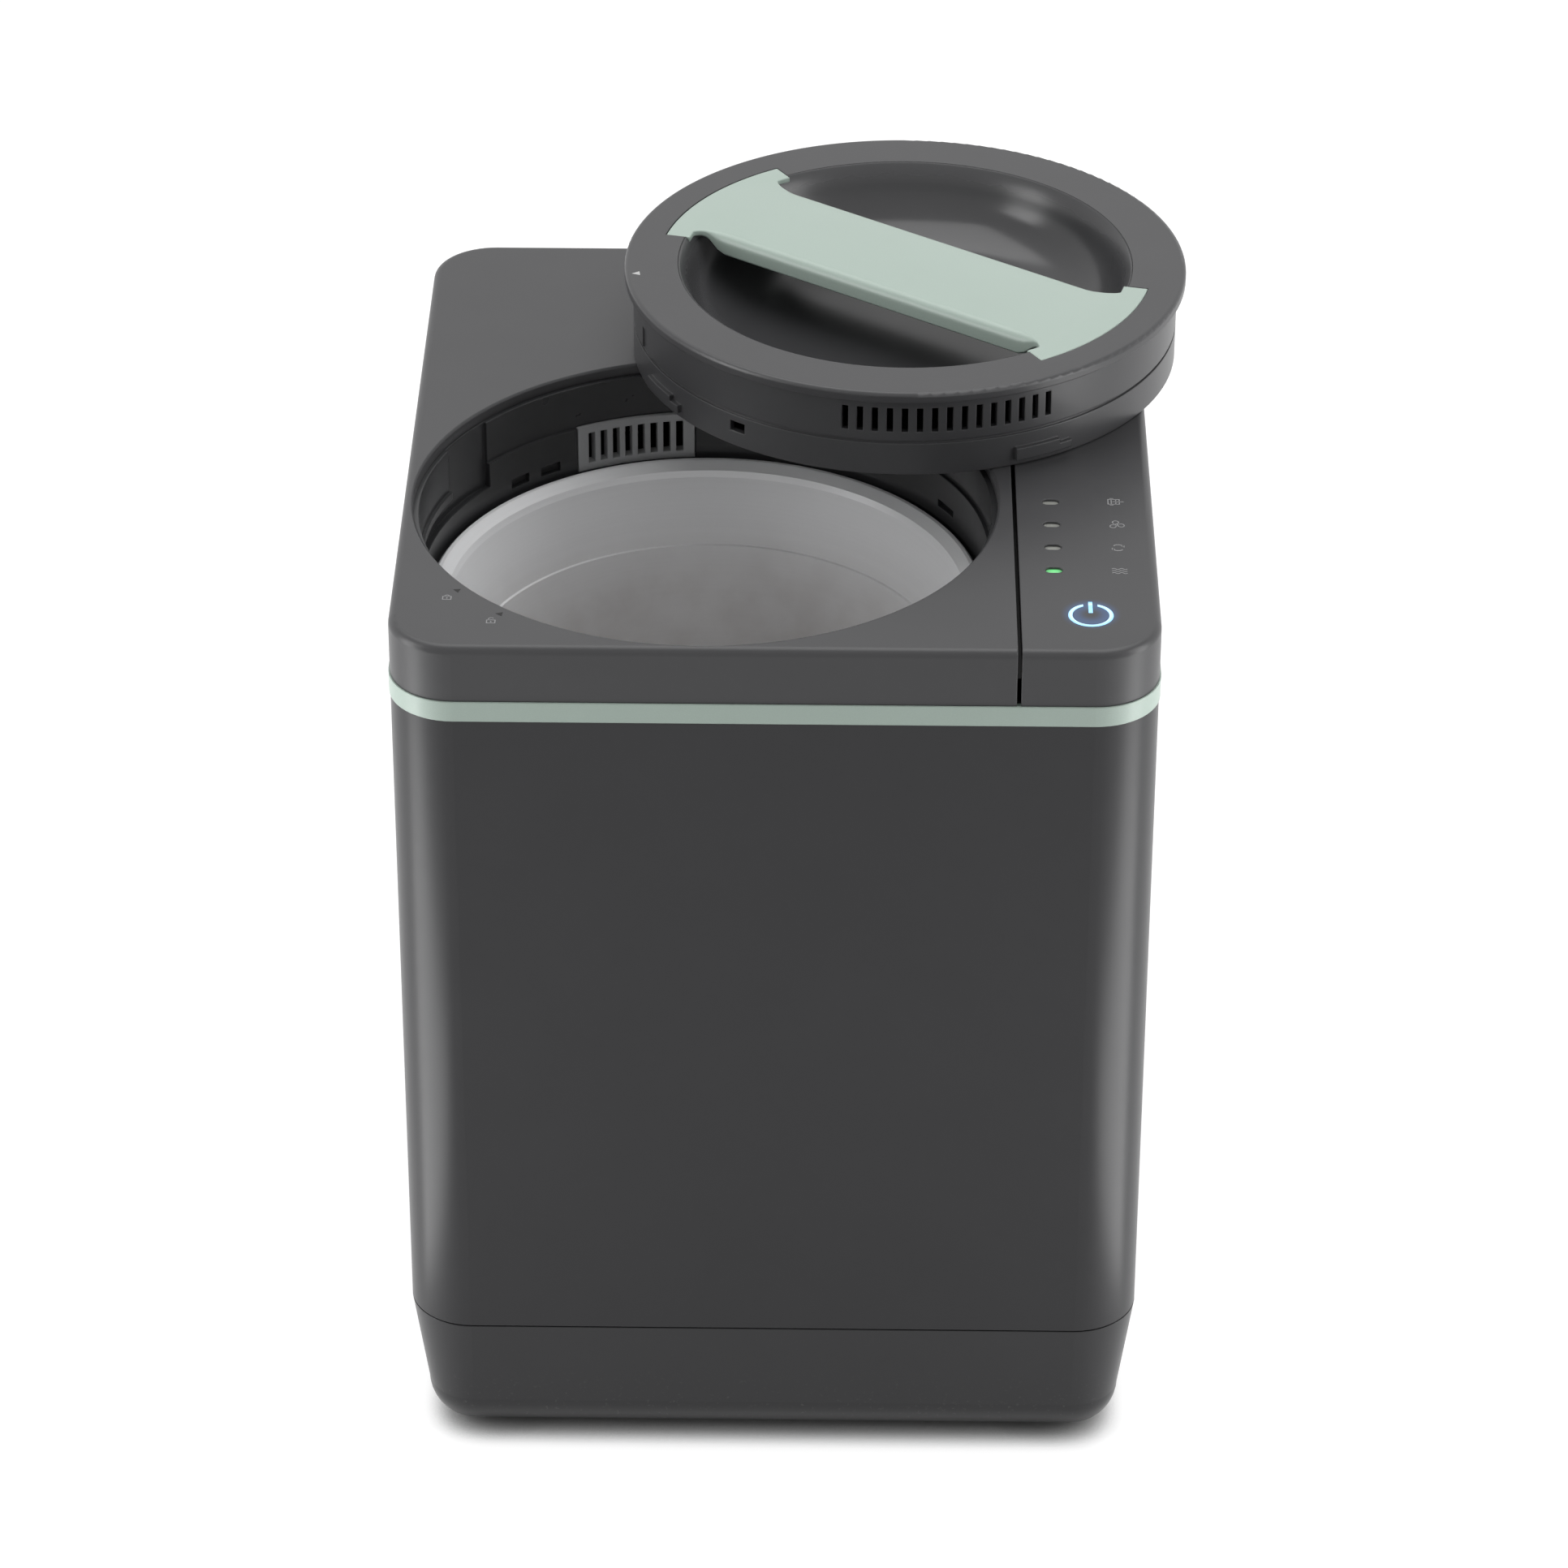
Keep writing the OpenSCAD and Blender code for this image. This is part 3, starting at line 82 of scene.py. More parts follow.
# %% Camera
EYE = Vector((0.0238, -2.0131, 1.4558))
DIP, YAW, ROLL = 0.5552, -0.0108, 0.0030
FOCAL_PX, FRAME_PX = 7428.6, 1932.0
SENSOR_MM = 36.0

def camera_axes(dip, yaw, roll):
    look = Vector((math.sin(yaw) * math.cos(dip), math.cos(yaw) * math.cos(dip), -math.sin(dip)))
    side = look.cross(Vector((0, 0, 1))).normalized()
    over = side.cross(look)
    return (side * math.cos(roll) + over * math.sin(roll),
            over * math.cos(roll) - side * math.sin(roll), -look)

camera = bpy.data.objects.new("camera", bpy.data.cameras.new("camera"))
bpy.context.scene.collection.objects.link(camera)
side, over, back = camera_axes(DIP, YAW, ROLL)
camera.matrix_world = Matrix(((side.x, over.x, back.x, EYE.x), (side.y, over.y, back.y, EYE.y),
                              (side.z, over.z, back.z, EYE.z), (0, 0, 0, 1)))
camera.data.sensor_width = SENSOR_MM
camera.data.lens = FOCAL_PX / FRAME_PX * SENSOR_MM
camera.data.clip_start, camera.data.clip_end = 0.05, 60.0
bpy.context.scene.camera = camera
bpy.context.scene.view_settings.view_transform = "Standard"
print("lens mm", round(camera.data.lens, 2), "distance", round(EYE.length, 3))

# %% [markdown]
# ## Sums on sockets
# A finish is a small sum: a base value, plus noise, times a mask. Wiring each Math node by hand
# hides that sum. One class holds a socket and turns Python's operators into Math nodes, also
# with the number on the left, so that `1 - mask` works. Colours and vectors go through Mix and
# Vector Math, because a Math node would turn a colour grey. Every other node comes from one
# method that takes its type, its settings and its sockets.

# %% The socket class
class Flow:
    def __init__(self, tree, socket):
        self.tree, self.socket = tree, socket

    def node(self, kind, settings=None, sockets=None, out=0):
        """A new node: its settings first, then values and links, and one of its outputs."""
        new = self.tree.nodes.new(kind)
        for key, value in (settings or {}).items():
            if key == "stops":
                ramp = new.color_ramp.elements
                while len(ramp) < len(value):
                    ramp.new(0.5)
                for stop, (place, colour) in zip(ramp, value):
                    stop.position, stop.color = place, colour
            else:
                setattr(new, key, value)
        for key, value in (sockets or {}).items():
            if isinstance(value, Flow):
                self.tree.links.new(value.socket, new.inputs[key])
            else:
                new.inputs[key].default_value = value
        return None if out is None else Flow(self.tree, new.outputs[out])

    def parts(self):
        """All outputs of this flow's node, such as the three coordinates of a split vector."""
        return {output.name: Flow(self.tree, output) for output in self.socket.node.outputs}

    def sum(self, work, first, second=0.0):
        return self.node("ShaderNodeMath", {"operation": work}, {0: first, 1: second})

    def __add__(self, other): return self.sum("ADD", self, other)
    def __radd__(self, other): return self.sum("ADD", other, self)
    def __sub__(self, other): return self.sum("SUBTRACT", self, other)
    def __rsub__(self, other): return self.sum("SUBTRACT", other, self)
    def __mul__(self, other): return self.sum("MULTIPLY", self, other)
    def __rmul__(self, other): return self.sum("MULTIPLY", other, self)
    def __truediv__(self, other): return self.sum("DIVIDE", self, other)
    def __rtruediv__(self, other): return self.sum("DIVIDE", other, self)
    def __pow__(self, other): return self.sum("POWER", self, other)

    def magnitude(self): return self.sum("ABSOLUTE", self)

    def step(self, low, high):
        """0 below low, 1 above high and smooth between them."""
        return self.node("ShaderNodeMapRange", {"interpolation_type": "SMOOTHSTEP"},
                         {0: self, 1: low, 2: high, 3: 0.0, 4: 1.0})

    def mix(self, first, second):
        """This value as a mask: first where it is 0, second where it is 1."""
        return self.node("ShaderNodeMix", {"data_type": "RGBA"}, {0: self, 6: first, 7: second}, 2)

print("what a flow can do", [name for name in vars(Flow) if callable(getattr(Flow, name))])

# %% [markdown]
# ## What every finish shares
# Each material is one glossy shader with a place to start sums from. All patterns are laid out
# in the object's own millimetres, so a grain keeps its real size on a small and a large piece
# and rides along when the piece moves. Unwrapping the pieces would also work, but their moulded
# and turned surfaces need no seams when the pattern is solid.

# %% A new finish
finishes = {}

class Finish:
    def __init__(self, name, rough, metal=0.0, specular=0.5, coat=0.0, coat_rough=0.1):
        self.stuff = bpy.data.materials.new(name)
        self.stuff.use_nodes = True
        tree = self.stuff.node_tree
        self.shader = tree.nodes["Principled BSDF"]
        for key, value in (("Roughness", rough), ("Metallic", metal), ("Specular IOR Level", specular),
                           ("Coat Weight", coat), ("Coat Roughness", coat_rough)):
            self.shader.inputs[key].default_value = value
        self.start = Flow(tree, None)
        self.place = self.start.node("ShaderNodeTexCoord", out="Object")
        finishes[name] = self.stuff

    def axes(self):
        """The point's x, y and z in metres."""
        return self.start.node("ShaderNodeSeparateXYZ", None, {0: self.place}).parts().values()

    def noise(self, grain_mm, detail=2.0, place=None, rough=0.5):
        return self.start.node("ShaderNodeTexNoise", None, {
            "Vector": place or self.place, "Scale": 1 / (grain_mm * MM), "Detail": detail,
            "Roughness": rough})

    def cells(self, grain_mm, place=None, settings=None):
        return self.start.node("ShaderNodeTexVoronoi", {"feature": "F1", **(settings or {})}, {
            "Vector": place or self.place, "Scale": 1 / (grain_mm * MM)})

    def stretched(self, x, y, z):
        return self.start.node("ShaderNodeVectorMath", {"operation": "MULTIPLY"},
                               {0: self.place, 1: (x, y, z)})

    def radius(self, centre):
        x, y, z = self.axes()
        return ((x - centre[0]) ** 2.0 + (y - centre[1]) ** 2.0) ** 0.5

    def colour(self, flow): self.link("Base Color", flow)
    def link(self, socket, flow):
        flow.tree.links.new(flow.socket, self.shader.inputs[socket])

    def worn_edge(self, radius_mm):
        """A normal that turns round every sharp edge, as a mould's edges do."""
        return self.start.node("ShaderNodeBevel", {"samples": 4}, {"Radius": radius_mm * MM})

    def relief(self, height, depth_mm, strength=1.0, edge=None):
        sockets = {"Height": height, "Distance": depth_mm * MM, "Strength": strength}
        if edge:
            sockets["Normal"] = edge
        self.link("Normal", self.start.node("ShaderNodeBump", None, sockets))

def paint(red, green, blue):
    return (red, green, blue, 1.0)

def shade(colour, factor):
    """The same hue, lighter or darker by a factor."""
    return paint(*(min(1.0, part * factor) for part in colour[:3]))

NO_LIGHT = paint(0.0, 0.0, 0.0)
print("a tenth darker", shade((0.5, 0.5, 0.5), 0.9))

# %% [markdown]
# ## Moulded plastic
# The sleeve, the base tray, the top and the lid are injection moulded and then stay unpainted.
# The mould is spark eroded, which leaves a skin of tiny pits, and the plastic shades a little
# where it flowed. A flat grey would look like paint on glass. So a fine grain drives the bump,
# a coarser mottle moves the colour and the gloss by a few per cent, and scuffs and dust gather
# low down, where hands and the counter meet it. No moulded edge is knife sharp, so a bevel node
# turns the normal over the last fraction of a millimetre and lets each edge catch a thin light.

# %% One recipe for moulded plastic
MOTTLE_MM, FLOW_MM, SPECK_MM = 34.0, 6.0, 1.8
EDGE_MM = 0.7
DUST, DUST_TOP = paint(0.32, 0.31, 0.30), 0.045

def moulded(name, colour, rough, grain_mm=0.5, depth_mm=0.012, specular=0.4, coat=0.0, dust=0.0):
    plastic = Finish(name, rough, specular=specular, coat=coat, coat_rough=0.12)
    grain = plastic.noise(grain_mm, 3.0)
    mottle = plastic.noise(MOTTLE_MM)
    fine = plastic.noise(FLOW_MM, 3.0)
    tone = (mottle - 0.5) * 0.9 + (fine - 0.5) * 0.35 + 0.5
    tint = tone.step(0.0, 1.0).mix(shade(colour, 0.94), shade(colour, 1.06))
    if dust:
        x, y, z = plastic.axes()
        low_down = 1 - z.step(0.0, DUST_TOP)
        specks = plastic.noise(SPECK_MM, 4.0, rough=0.7).step(0.58, 0.74)
        tint = (low_down * specks * dust).mix(tint, DUST)
    plastic.colour(tint)
    plastic.link("Roughness", rough + (fine - 0.5) * 0.05 + (grain - 0.5) * 0.04)
    plastic.relief(grain, depth_mm, 0.7, plastic.worn_edge(EDGE_MM))
    return plastic

GRAPHITE = (0.028, 0.028, 0.030)
moulded("housing_plastic", GRAPHITE, 0.32, specular=0.32, dust=0.25)
print("sleeve grey", GRAPHITE)

# %% [markdown]
# ## Top cover and control panel
# The top is the same resin from another mould with a finer grain, and it carries the touch
# signs. The lit power sign would shine a little blue into the grey around it, where the moulding
# is thin, and that glow is painted: a ring of emission whose strength falls with the distance from
# the sign. A lamp hung over the sign could give that too; the painted ring stays on the panel from every
# side.

# %% Top cover finish
GLOW_RING_PEAK, GLOW_RING_REACH = 0.0062, 0.0052
# Painted light: the cover's grey is nearly twice as light as the sleeve's, though both are one resin, so the
# upward faces read lighter.
top = moulded("cover_plastic", (0.052, 0.052, 0.0545), 0.36, grain_mm=0.4, specular=0.42)
from_sign = top.radius(power_mid)
x, y, z = top.axes()
near_sign = 1 - ((from_sign - GLOW_RING_PEAK).magnitude() / GLOW_RING_REACH).step(0.0, 1.0)
# Painted glow: blue emission on the cover's top face in a ring round the power sign.
painted_sign_glow = near_sign * z.step(cover_top - 0.003, cover_top - 0.001)
top.link("Emission Color", painted_sign_glow.mix(NO_LIGHT, paint(0.010, 0.055, 0.16)))
top.shader.inputs["Emission Strength"].default_value = 1.0
print("sign at", [round(v, 4) for v in power_mid.xy])

# %% [markdown]
# ## The lid's grey
# The lid is handled most, so its grain is polished by fingers: glossier in the bowl, duller on
# the flange. A second material on the same piece would need a hard border. The distance from
# the lid's own axis makes a soft one.

# %% Lid finish
BOWL_ROUGH, FLANGE_MORE = 0.19, 0.14
BOWL_RADIUS, FLANGE_RADIUS = 0.078, 0.090
# Painted light: the lid's grey is nearly twice as light as the sleeve's, as on the top cover, so its upward
# faces read lighter.
lid_grey = moulded("lid_plastic", (0.050, 0.050, 0.0525), 0.33, grain_mm=0.4, specular=0.45)
from_axis = lid_grey.radius(lid_mid)
rub = lid_grey.noise(12.0, 4.0)
on_flange = from_axis.step(BOWL_RADIUS, FLANGE_RADIUS)
lid_grey.link("Roughness", BOWL_ROUGH + on_flange * FLANGE_MORE + (rub - 0.5) * 0.05)
print("lid axis", [round(v, 4) for v in lid_mid.xy])

# %% [markdown]
# ## The grey green trim
# The handle and the band round the body are cast in a pale grey green, satin and slightly
# pearly. A clear coat gives the crisp edge light of a lacquer over a soft colour, and tiny
# flakes too small to see one by one keep it from looking like chalk.

# %% Trim finish
SAGE = (0.425, 0.520, 0.463)
trim = moulded("sage_trim", SAGE, 0.38, grain_mm=0.3, depth_mm=0.006, specular=0.5, coat=0.15)
flakes = trim.noise(0.35, 1.0).step(0.45, 0.75)
cloud = trim.noise(28.0, 2.0)
trim.colour((flakes * 0.45 + cloud * 0.35).mix(shade(SAGE, 0.95), shade(SAGE, 1.08)))
print("trim colour", SAGE)

# %% [markdown]
# ## Well wall and black parts
# Inside the opening the wall is a smoother, darker grade that stands the heat and the steam. It
# shows a faint water mark near the bucket's rim. The black parts behind it and the strip in the
# panel gap are glass filled and matt.

# %% Well and black finishes
WELL_GREY, WATER_GREY = paint(0.026, 0.0265, 0.028), paint(0.07, 0.069, 0.066)
MARK_LEVEL, MARK_WANDER, MARK_HALF = 0.326, 0.006, 0.0016
well = moulded("well_plastic", WELL_GREY, 0.27, grain_mm=0.7, depth_mm=0.003, specular=0.45)
x, y, z = well.axes()
drift = well.noise(9.0, 3.0)
off_mark = (z - MARK_LEVEL + (drift - 0.5) * MARK_WANDER).magnitude() / MARK_HALF
mark = (1 - off_mark.step(0.0, 1.0)) * 0.10
well.link("Roughness", 0.28 + (drift - 0.5) * 0.03)
well.colour(mark.mix(WELL_GREY, WATER_GREY))
moulded("black_plastic", (0.012, 0.012, 0.0125), 0.5, grain_mm=0.8, depth_mm=0.02, specular=0.3)
moulded("grille_plastic", (0.36, 0.365, 0.37), 0.4)
print("water mark at", MARK_LEVEL)

# %% [markdown]
# ## The bucket
# The bucket is deep drawn from aluminium, turned, and sprayed with a pale ceramic coat that
# food does not stick to. Turning leaves rings round its axis that show through the coat. Below
# the rim the wall is painted darker and warmer: painted shade and a painted reflection of the
# dark well. Rings could be a wave pattern, but real ones are uneven. So noise is read at a point
# made from radius and height alone, which is the same all the way round.

# %% Bucket finish
def turned(metal, centre, pitch_mm):
    """Uneven rings round an upright axis."""
    x, y, z = metal.axes()
    ring_place = metal.start.node("ShaderNodeCombineXYZ", None, {0: metal.radius(centre), 1: z * 0.9})
    return metal.noise(pitch_mm, 2.0, ring_place)

CERAMIC, WELL_SHADE_TINT = (0.86, 0.865, 0.875), paint(0.50, 0.475, 0.46)
WELL_SHADE_LOW, WELL_SHADE_TOP = 0.262, 0.312
bucket = Finish("bucket_metal", 0.30, metal=0.12, specular=0.5)
rings = turned(bucket, bucket_mid, 0.9)
wide_rings = turned(bucket, bucket_mid, 9.0)
blotches = bucket.noise(18.0, 3.0)
x, y, z = bucket.axes()
# Painted shade: below the rim the wall is darkened and warmed, standing in for the shade and the reflection
# of the dark well.
painted_well_shade = (1 - z.step(WELL_SHADE_LOW, WELL_SHADE_TOP)) * (0.45 + blotches.step(0.30, 0.80) * 0.25)
ring_tone = (rings - 0.5) * 0.5 + (wide_rings - 0.5) * 0.6 + 0.5
bucket.colour(painted_well_shade.mix(ring_tone.mix(shade(CERAMIC, 0.95), shade(CERAMIC, 1.05)), WELL_SHADE_TINT))
bucket.link("Roughness", 0.27 + rings * 0.06 + blotches * 0.08)
bucket.relief(rings, 0.02, 0.5)
print("bucket colour", CERAMIC)

# %% [markdown]
# ## Bars, auger and machine parts
# The auger is cast and then tumbled, so it is soft and pitted. The bars are milled and show
# straight cutter lines. Shafts and screws are turned steel, gearbox halves are die cast, and
# the deck is zinc plated sheet with large pale crystals. One recipe serves them all: a colour,
# a gloss, and a pattern picked by how the part is made.

# %% One recipe for metals
def metal(name, colour, rough, made, grain_mm, depth_mm=0.02, patina=0.06):
    part = Finish(name, rough, metal=1.0)
    if made == "turned":
        pattern = part.noise(grain_mm, 2.0, part.stretched(1.0, 1.0, 9.0))
    elif made == "milled":
        pattern = part.noise(grain_mm, 2.0, part.stretched(7.0, 1.0, 0.6))
    elif made == "plated":
        pattern = part.cells(grain_mm)
    else:
        pattern = part.noise(grain_mm, 5.0, rough=0.65)
    cloud = part.noise(20.0, 3.0)
    dull, bright = shade(colour, 1 - 2 * patina), shade(colour, 1 + patina)
    part.colour(((pattern - 0.5) * 0.6 + cloud).mix(dull, bright))
    part.link("Roughness", rough + (pattern - 0.5) * 0.16 + (cloud - 0.5) * 0.12)
    part.relief(pattern, depth_mm, 0.6)

metal("bar_metal", (0.62, 0.62, 0.63), 0.30, "milled", 0.6)
metal("auger_metal", (0.55, 0.56, 0.57), 0.38, "cast", 0.9, 0.04, 0.1)
metal("heater_metal", (0.58, 0.58, 0.58), 0.42, "cast", 0.7, 0.03, 0.12)
metal("steel", (0.60, 0.60, 0.61), 0.26, "turned", 0.35)
metal("deck_steel", (0.57, 0.59, 0.60), 0.36, "plated", 7.0, 0.01, 0.1)
metal("gearbox_alloy", (0.50, 0.51, 0.52), 0.46, "cast", 1.1, 0.05, 0.1)
metal("bronze", (0.60, 0.40, 0.20), 0.36, "cast", 0.5, 0.03, 0.12)
metal("motor_steel", (0.42, 0.43, 0.44), 0.34, "turned", 0.6)
print("finishes so far", len(finishes))

# %% [markdown]
# ## Nylon, rubber, silicone and filter plastic
# Gears are ivory nylon, waxy under the surface light. Feet are black rubber with a dusting of
# release powder, and the seals are grey silicone. None of them shines like the housing, so
# their gloss is low and their grain is coarse.

# %% Soft and technical plastics
moulded("gear_nylon", (0.70, 0.66, 0.56), 0.42, grain_mm=1.2, depth_mm=0.01)
moulded("filter_plastic", (0.060, 0.066, 0.064), 0.45, grain_mm=0.8, specular=0.35)
for name, colour in (("rubber", (0.018, 0.018, 0.018)), ("seal_silicone", (0.30, 0.31, 0.32))):
    soft = moulded(name, colour, 0.62, grain_mm=0.35, depth_mm=0.03, specular=0.25)
    powder = soft.noise(5.0, 5.0, rough=0.7).step(0.5, 0.85) * 0.25
    soft.colour(powder.mix(shade(colour, 1.0), shade(colour, 2.2)))
print("finishes so far", len(finishes))

# %% [markdown]
# ## Circuit boards
# A board is green lacquer over copper, with bare pads. The copper shows as slightly lighter
# lanes that run straight and turn at right angles. Drawing each lane is wasted work inside a
# closed housing. A stretched cell pattern in two directions gives the same reading.

# %% Board finish
LANES_PER_METRE = 260
board = Finish("board", 0.35, coat=0.3)
lanes = board.cells(1000 / LANES_PER_METRE, board.stretched(1.0, 0.35, 1.0), {"distance": "CHEBYCHEV"})
pads = board.noise(2.2, 1.0).step(0.62, 0.66)
lacquer = lanes.step(0.30, 0.34).mix(paint(0.012, 0.085, 0.038), paint(0.020, 0.125, 0.055))
board.colour((pads * 0.6).mix(lacquer, paint(0.55, 0.50, 0.36)))
board.relief(lanes, 0.03, 0.5)
print("lanes in a metre", LANES_PER_METRE)

# %% [markdown]
# ## Windows and the power sign
# The four windows are one strip of smoked light guides, and only the lowest is on. One material
# can tell them apart by where they stand. Its mask is 1 below the gap between the third and the
# fourth, and it turns on green emission there, brightest at the core of the window. The power
# sign glows pale blue with a deeper blue edge.

# %% Lit finishes
# Roughly how many window pitches the strip is long, and what share of it lies beyond the
# middle of an end window.
WINDOW_PITCHES, WINDOW_INSET = 3.18, 0.029
CORE_HALF_X, CORE_HALF_Y, CORE_SHIFT = 0.0030, 0.0022, 0.0015
RING_RADIUS, RING_HALF = 0.0072, 0.0011
strip = lens_high.y - lens_low.y
pitch = strip / WINDOW_PITCHES
last_y = lens_low.y + strip * WINDOW_INSET
mid_x = (lens_low.x + lens_high.x) / 2

lamp = Finish("clear_lens", 0.22, specular=0.5, coat=0.4)
x, y, z = lamp.axes()
lit = 1 - (y - (lens_low.y + pitch * 0.5)).step(-0.001, 0.001)
off_core = ((x - mid_x) / CORE_HALF_X) ** 2.0 + ((y - last_y - CORE_SHIFT) / CORE_HALF_Y) ** 2.0
core = 1 - (off_core ** 0.5).step(0.1, 1.3)
smoked = lamp.noise(1.2, 3.0).mix(paint(0.24, 0.245, 0.225), paint(0.34, 0.345, 0.32))
lamp.colour(lit.mix(smoked, paint(0.10, 0.36, 0.14)))
lamp.link("Emission Color", (lit * (0.35 + core * 0.65)).mix(NO_LIGHT, paint(0.20, 0.78, 0.27)))
lamp.shader.inputs["Emission Strength"].default_value = 0.75

sign = Finish("glow_lens", 0.25, specular=0.5)
off_ring = (sign.radius(power_mid) - RING_RADIUS).magnitude()
sign.colour(sign.noise(1.5).mix(paint(0.25, 0.45, 0.62), paint(0.34, 0.56, 0.74)))
sign_light = off_ring.step(0.0, RING_HALF).mix(paint(0.62, 0.86, 1.0), paint(0.22, 0.55, 0.95))
sign.link("Emission Color", sign_light)
sign.shader.inputs["Emission Strength"].default_value = 0.9
print("strip of windows mm", round(strip / MM, 2))

# %% [markdown]
# ## Putting the finishes on
# Every solid came with the name of its finish, as a shop drawing names the resin or the alloy.
# The finished material takes that place on the piece, and the loop stops if a name has none.

# %% Assign
for name, piece in nodes.items():
    for slot in piece.material_slots:
        wanted = slot.material.name.split(".")[0]
        slot.material = finishes[wanted]
print("finished", len(nodes), "pieces with", len(finishes), "finishes")

# %% [markdown]
# ## The handle, as it is moulded
# The bar bridges the bowl and runs out at both ends into flared plates that lie flush in the
# flange. Its long edges are rolled over and hang down like the edge of a tray, and the roll fades
# out towards the flares. A cut solid can't fade a rounding. Here the outline is walked round
# once, each point carries its own roll radius and depth, and rings are stacked from them.

# %% Handle
LID_TURN = math.radians(-35.5)
BAR_HALF, BOWL_EDGE, FLARE_EDGE, FILLET = 24.5, 86.0, 95.5, 7.0
FLARE_HALF = math.radians(22.5)
PLATE_THICK, ROLL_THICK = 3.0, 2.5
ROLL_RADIUS, ROLL_DEPTH = 4.0, 8.7
FADE_LENGTH, FADE_PAST = 10, 4
bar_end = math.sqrt(BOWL_EDGE ** 2 - BAR_HALF ** 2) - FILLET

def roll_at(x):
    """1 where the long edge is fully rolled, fading smoothly to 0 towards the flare."""
    fade = min(1.0, max(0.0, (bar_end + FADE_PAST - x) / FADE_LENGTH))
    return fade * fade * (3 - 2 * fade)

def outline_quarter():
    """From the middle of a long edge to the middle of a flare, with the roll at each point."""
    points = []
    for i in range(25):
        x = bar_end * i / 24
        points.append((x, BAR_HALF, roll_at(x)))
    centre_x, centre_y = bar_end, BAR_HALF + FILLET
    for i in range(1, 19):
        turn = math.radians(-90 + 5 * i)
        x, y = centre_x + FILLET * math.cos(turn), centre_y + FILLET * math.sin(turn)
        if math.hypot(x, y) >= BOWL_EDGE:
            break
        points.append((x, y, roll_at(x)))
    start = math.atan2(y, x)
    for i in range(5):
        turn = start + (FLARE_HALF - start) * i / 4
        points.append((BOWL_EDGE * math.cos(turn), BOWL_EDGE * math.sin(turn), 0.0))
    for i in range(13):
        turn = FLARE_HALF * (1 - i / 12)
        points.append((FLARE_EDGE * math.cos(turn), FLARE_EDGE * math.sin(turn), 0.0))
    return points

quarter = outline_quarter()
half = quarter + [(x, -y, roll) for x, y, roll in reversed(quarter[:-1])]
loop = half + [(-x, y, roll) for x, y, roll in reversed(half[1:-1])]

def inset(points, reach):
    """Every point moved inwards by its own reach, along the mitre of its two edges."""
    moved, count = [], len(points)
    for i in range(count):
        before, here, after = (Vector(points[j % count][:2]) for j in (i - 1, i, i + 1))
        run_in, run_out = (here - before).normalized(), (after - here).normalized()
        inward = (Vector((run_in.y, -run_in.x)) + Vector((run_out.y, -run_out.x))).normalized()
        stretch = max(0.6, inward.dot(Vector((run_in.y, -run_in.x))))
        moved.append(here + inward * (reach[i] / stretch))
    return moved

rolls = [point[2] for point in loop]
radius_at = [0.5 + (ROLL_RADIUS - 0.5) * roll for roll in rolls]
depth_at = [PLATE_THICK + (ROLL_DEPTH - PLATE_THICK) * roll for roll in rolls]
layers = [([ROLL_THICK] * len(loop), [PLATE_THICK] * len(loop)),
          ([ROLL_THICK] * len(loop), [depth - 0.3 for depth in depth_at]),
          ([1.2] * len(loop), depth_at), ([0.0] * len(loop), [depth - 1.0 for depth in depth_at])]
for step in range(7):
    lean = math.radians(15 * step)
    layers.append(([r * (1 - math.cos(lean)) for r in radius_at],
                   [r * (1 - math.sin(lean)) for r in radius_at]))

handle_mesh = bmesh.new()
lid_place = Matrix.Translation((lid_mid.x, lid_mid.y, lid_top)) @ Matrix.Rotation(LID_TURN, 4, "Z") \
    @ Matrix.Scale(MM, 4)
rings = [[handle_mesh.verts.new(lid_place @ Vector((p.x, p.y, -drop)))
          for p, drop in zip(inset(loop, reach), drops)] for reach, drops in layers]
for lower, upper in zip(rings, rings[1:]):
    for i in range(len(loop)):
        j = (i + 1) % len(loop)
        handle_mesh.faces.new((lower[i], lower[j], upper[j], upper[i]))
handle_mesh.faces.new(rings[-1])
handle_mesh.faces.new(list(reversed(rings[0])))
bmesh.ops.remove_doubles(handle_mesh, verts=list(handle_mesh.verts), dist=1e-6)
bmesh.ops.recalc_face_normals(handle_mesh, faces=list(handle_mesh.faces))

def smoothed(mesh, sharp_deg):
    for face in mesh.faces:
        face.smooth = True
    for edge in mesh.edges:
        if edge.is_manifold and edge.calc_face_angle(0.0) > math.radians(sharp_deg):
            edge.smooth = False

def placed(name, mesh, material):
    data = bpy.data.meshes.new(name)
    mesh.to_mesh(data)
    mesh.free()
    data.materials.append(material)
    made = bpy.data.objects.new(name, data)
    bpy.context.scene.collection.objects.link(made)
    return made

def finished_piece(name, mesh, body, finish_slot, material=None):
    made = placed(name, mesh, material or finishes[finish_slot])
    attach(made, body)
    return made

smoothed(handle_mesh, 40)
handle = finished_piece("moulded_handle", handle_mesh, "lid", "sage_trim")
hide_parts("lid_handle")
print("handle points", len(handle.data.vertices))

# %% [markdown]
# ## The lid's dish
# Under the bar the lid is one smooth glossy dish, with a fine bead where it meets the flange. It
# is turned from a profile, as a potter would: a short list of radii and depths, taken round the
# lid's axis and subdivided. The profile stays a hair inside the solid bowl, so that only the
# finer surface shows.

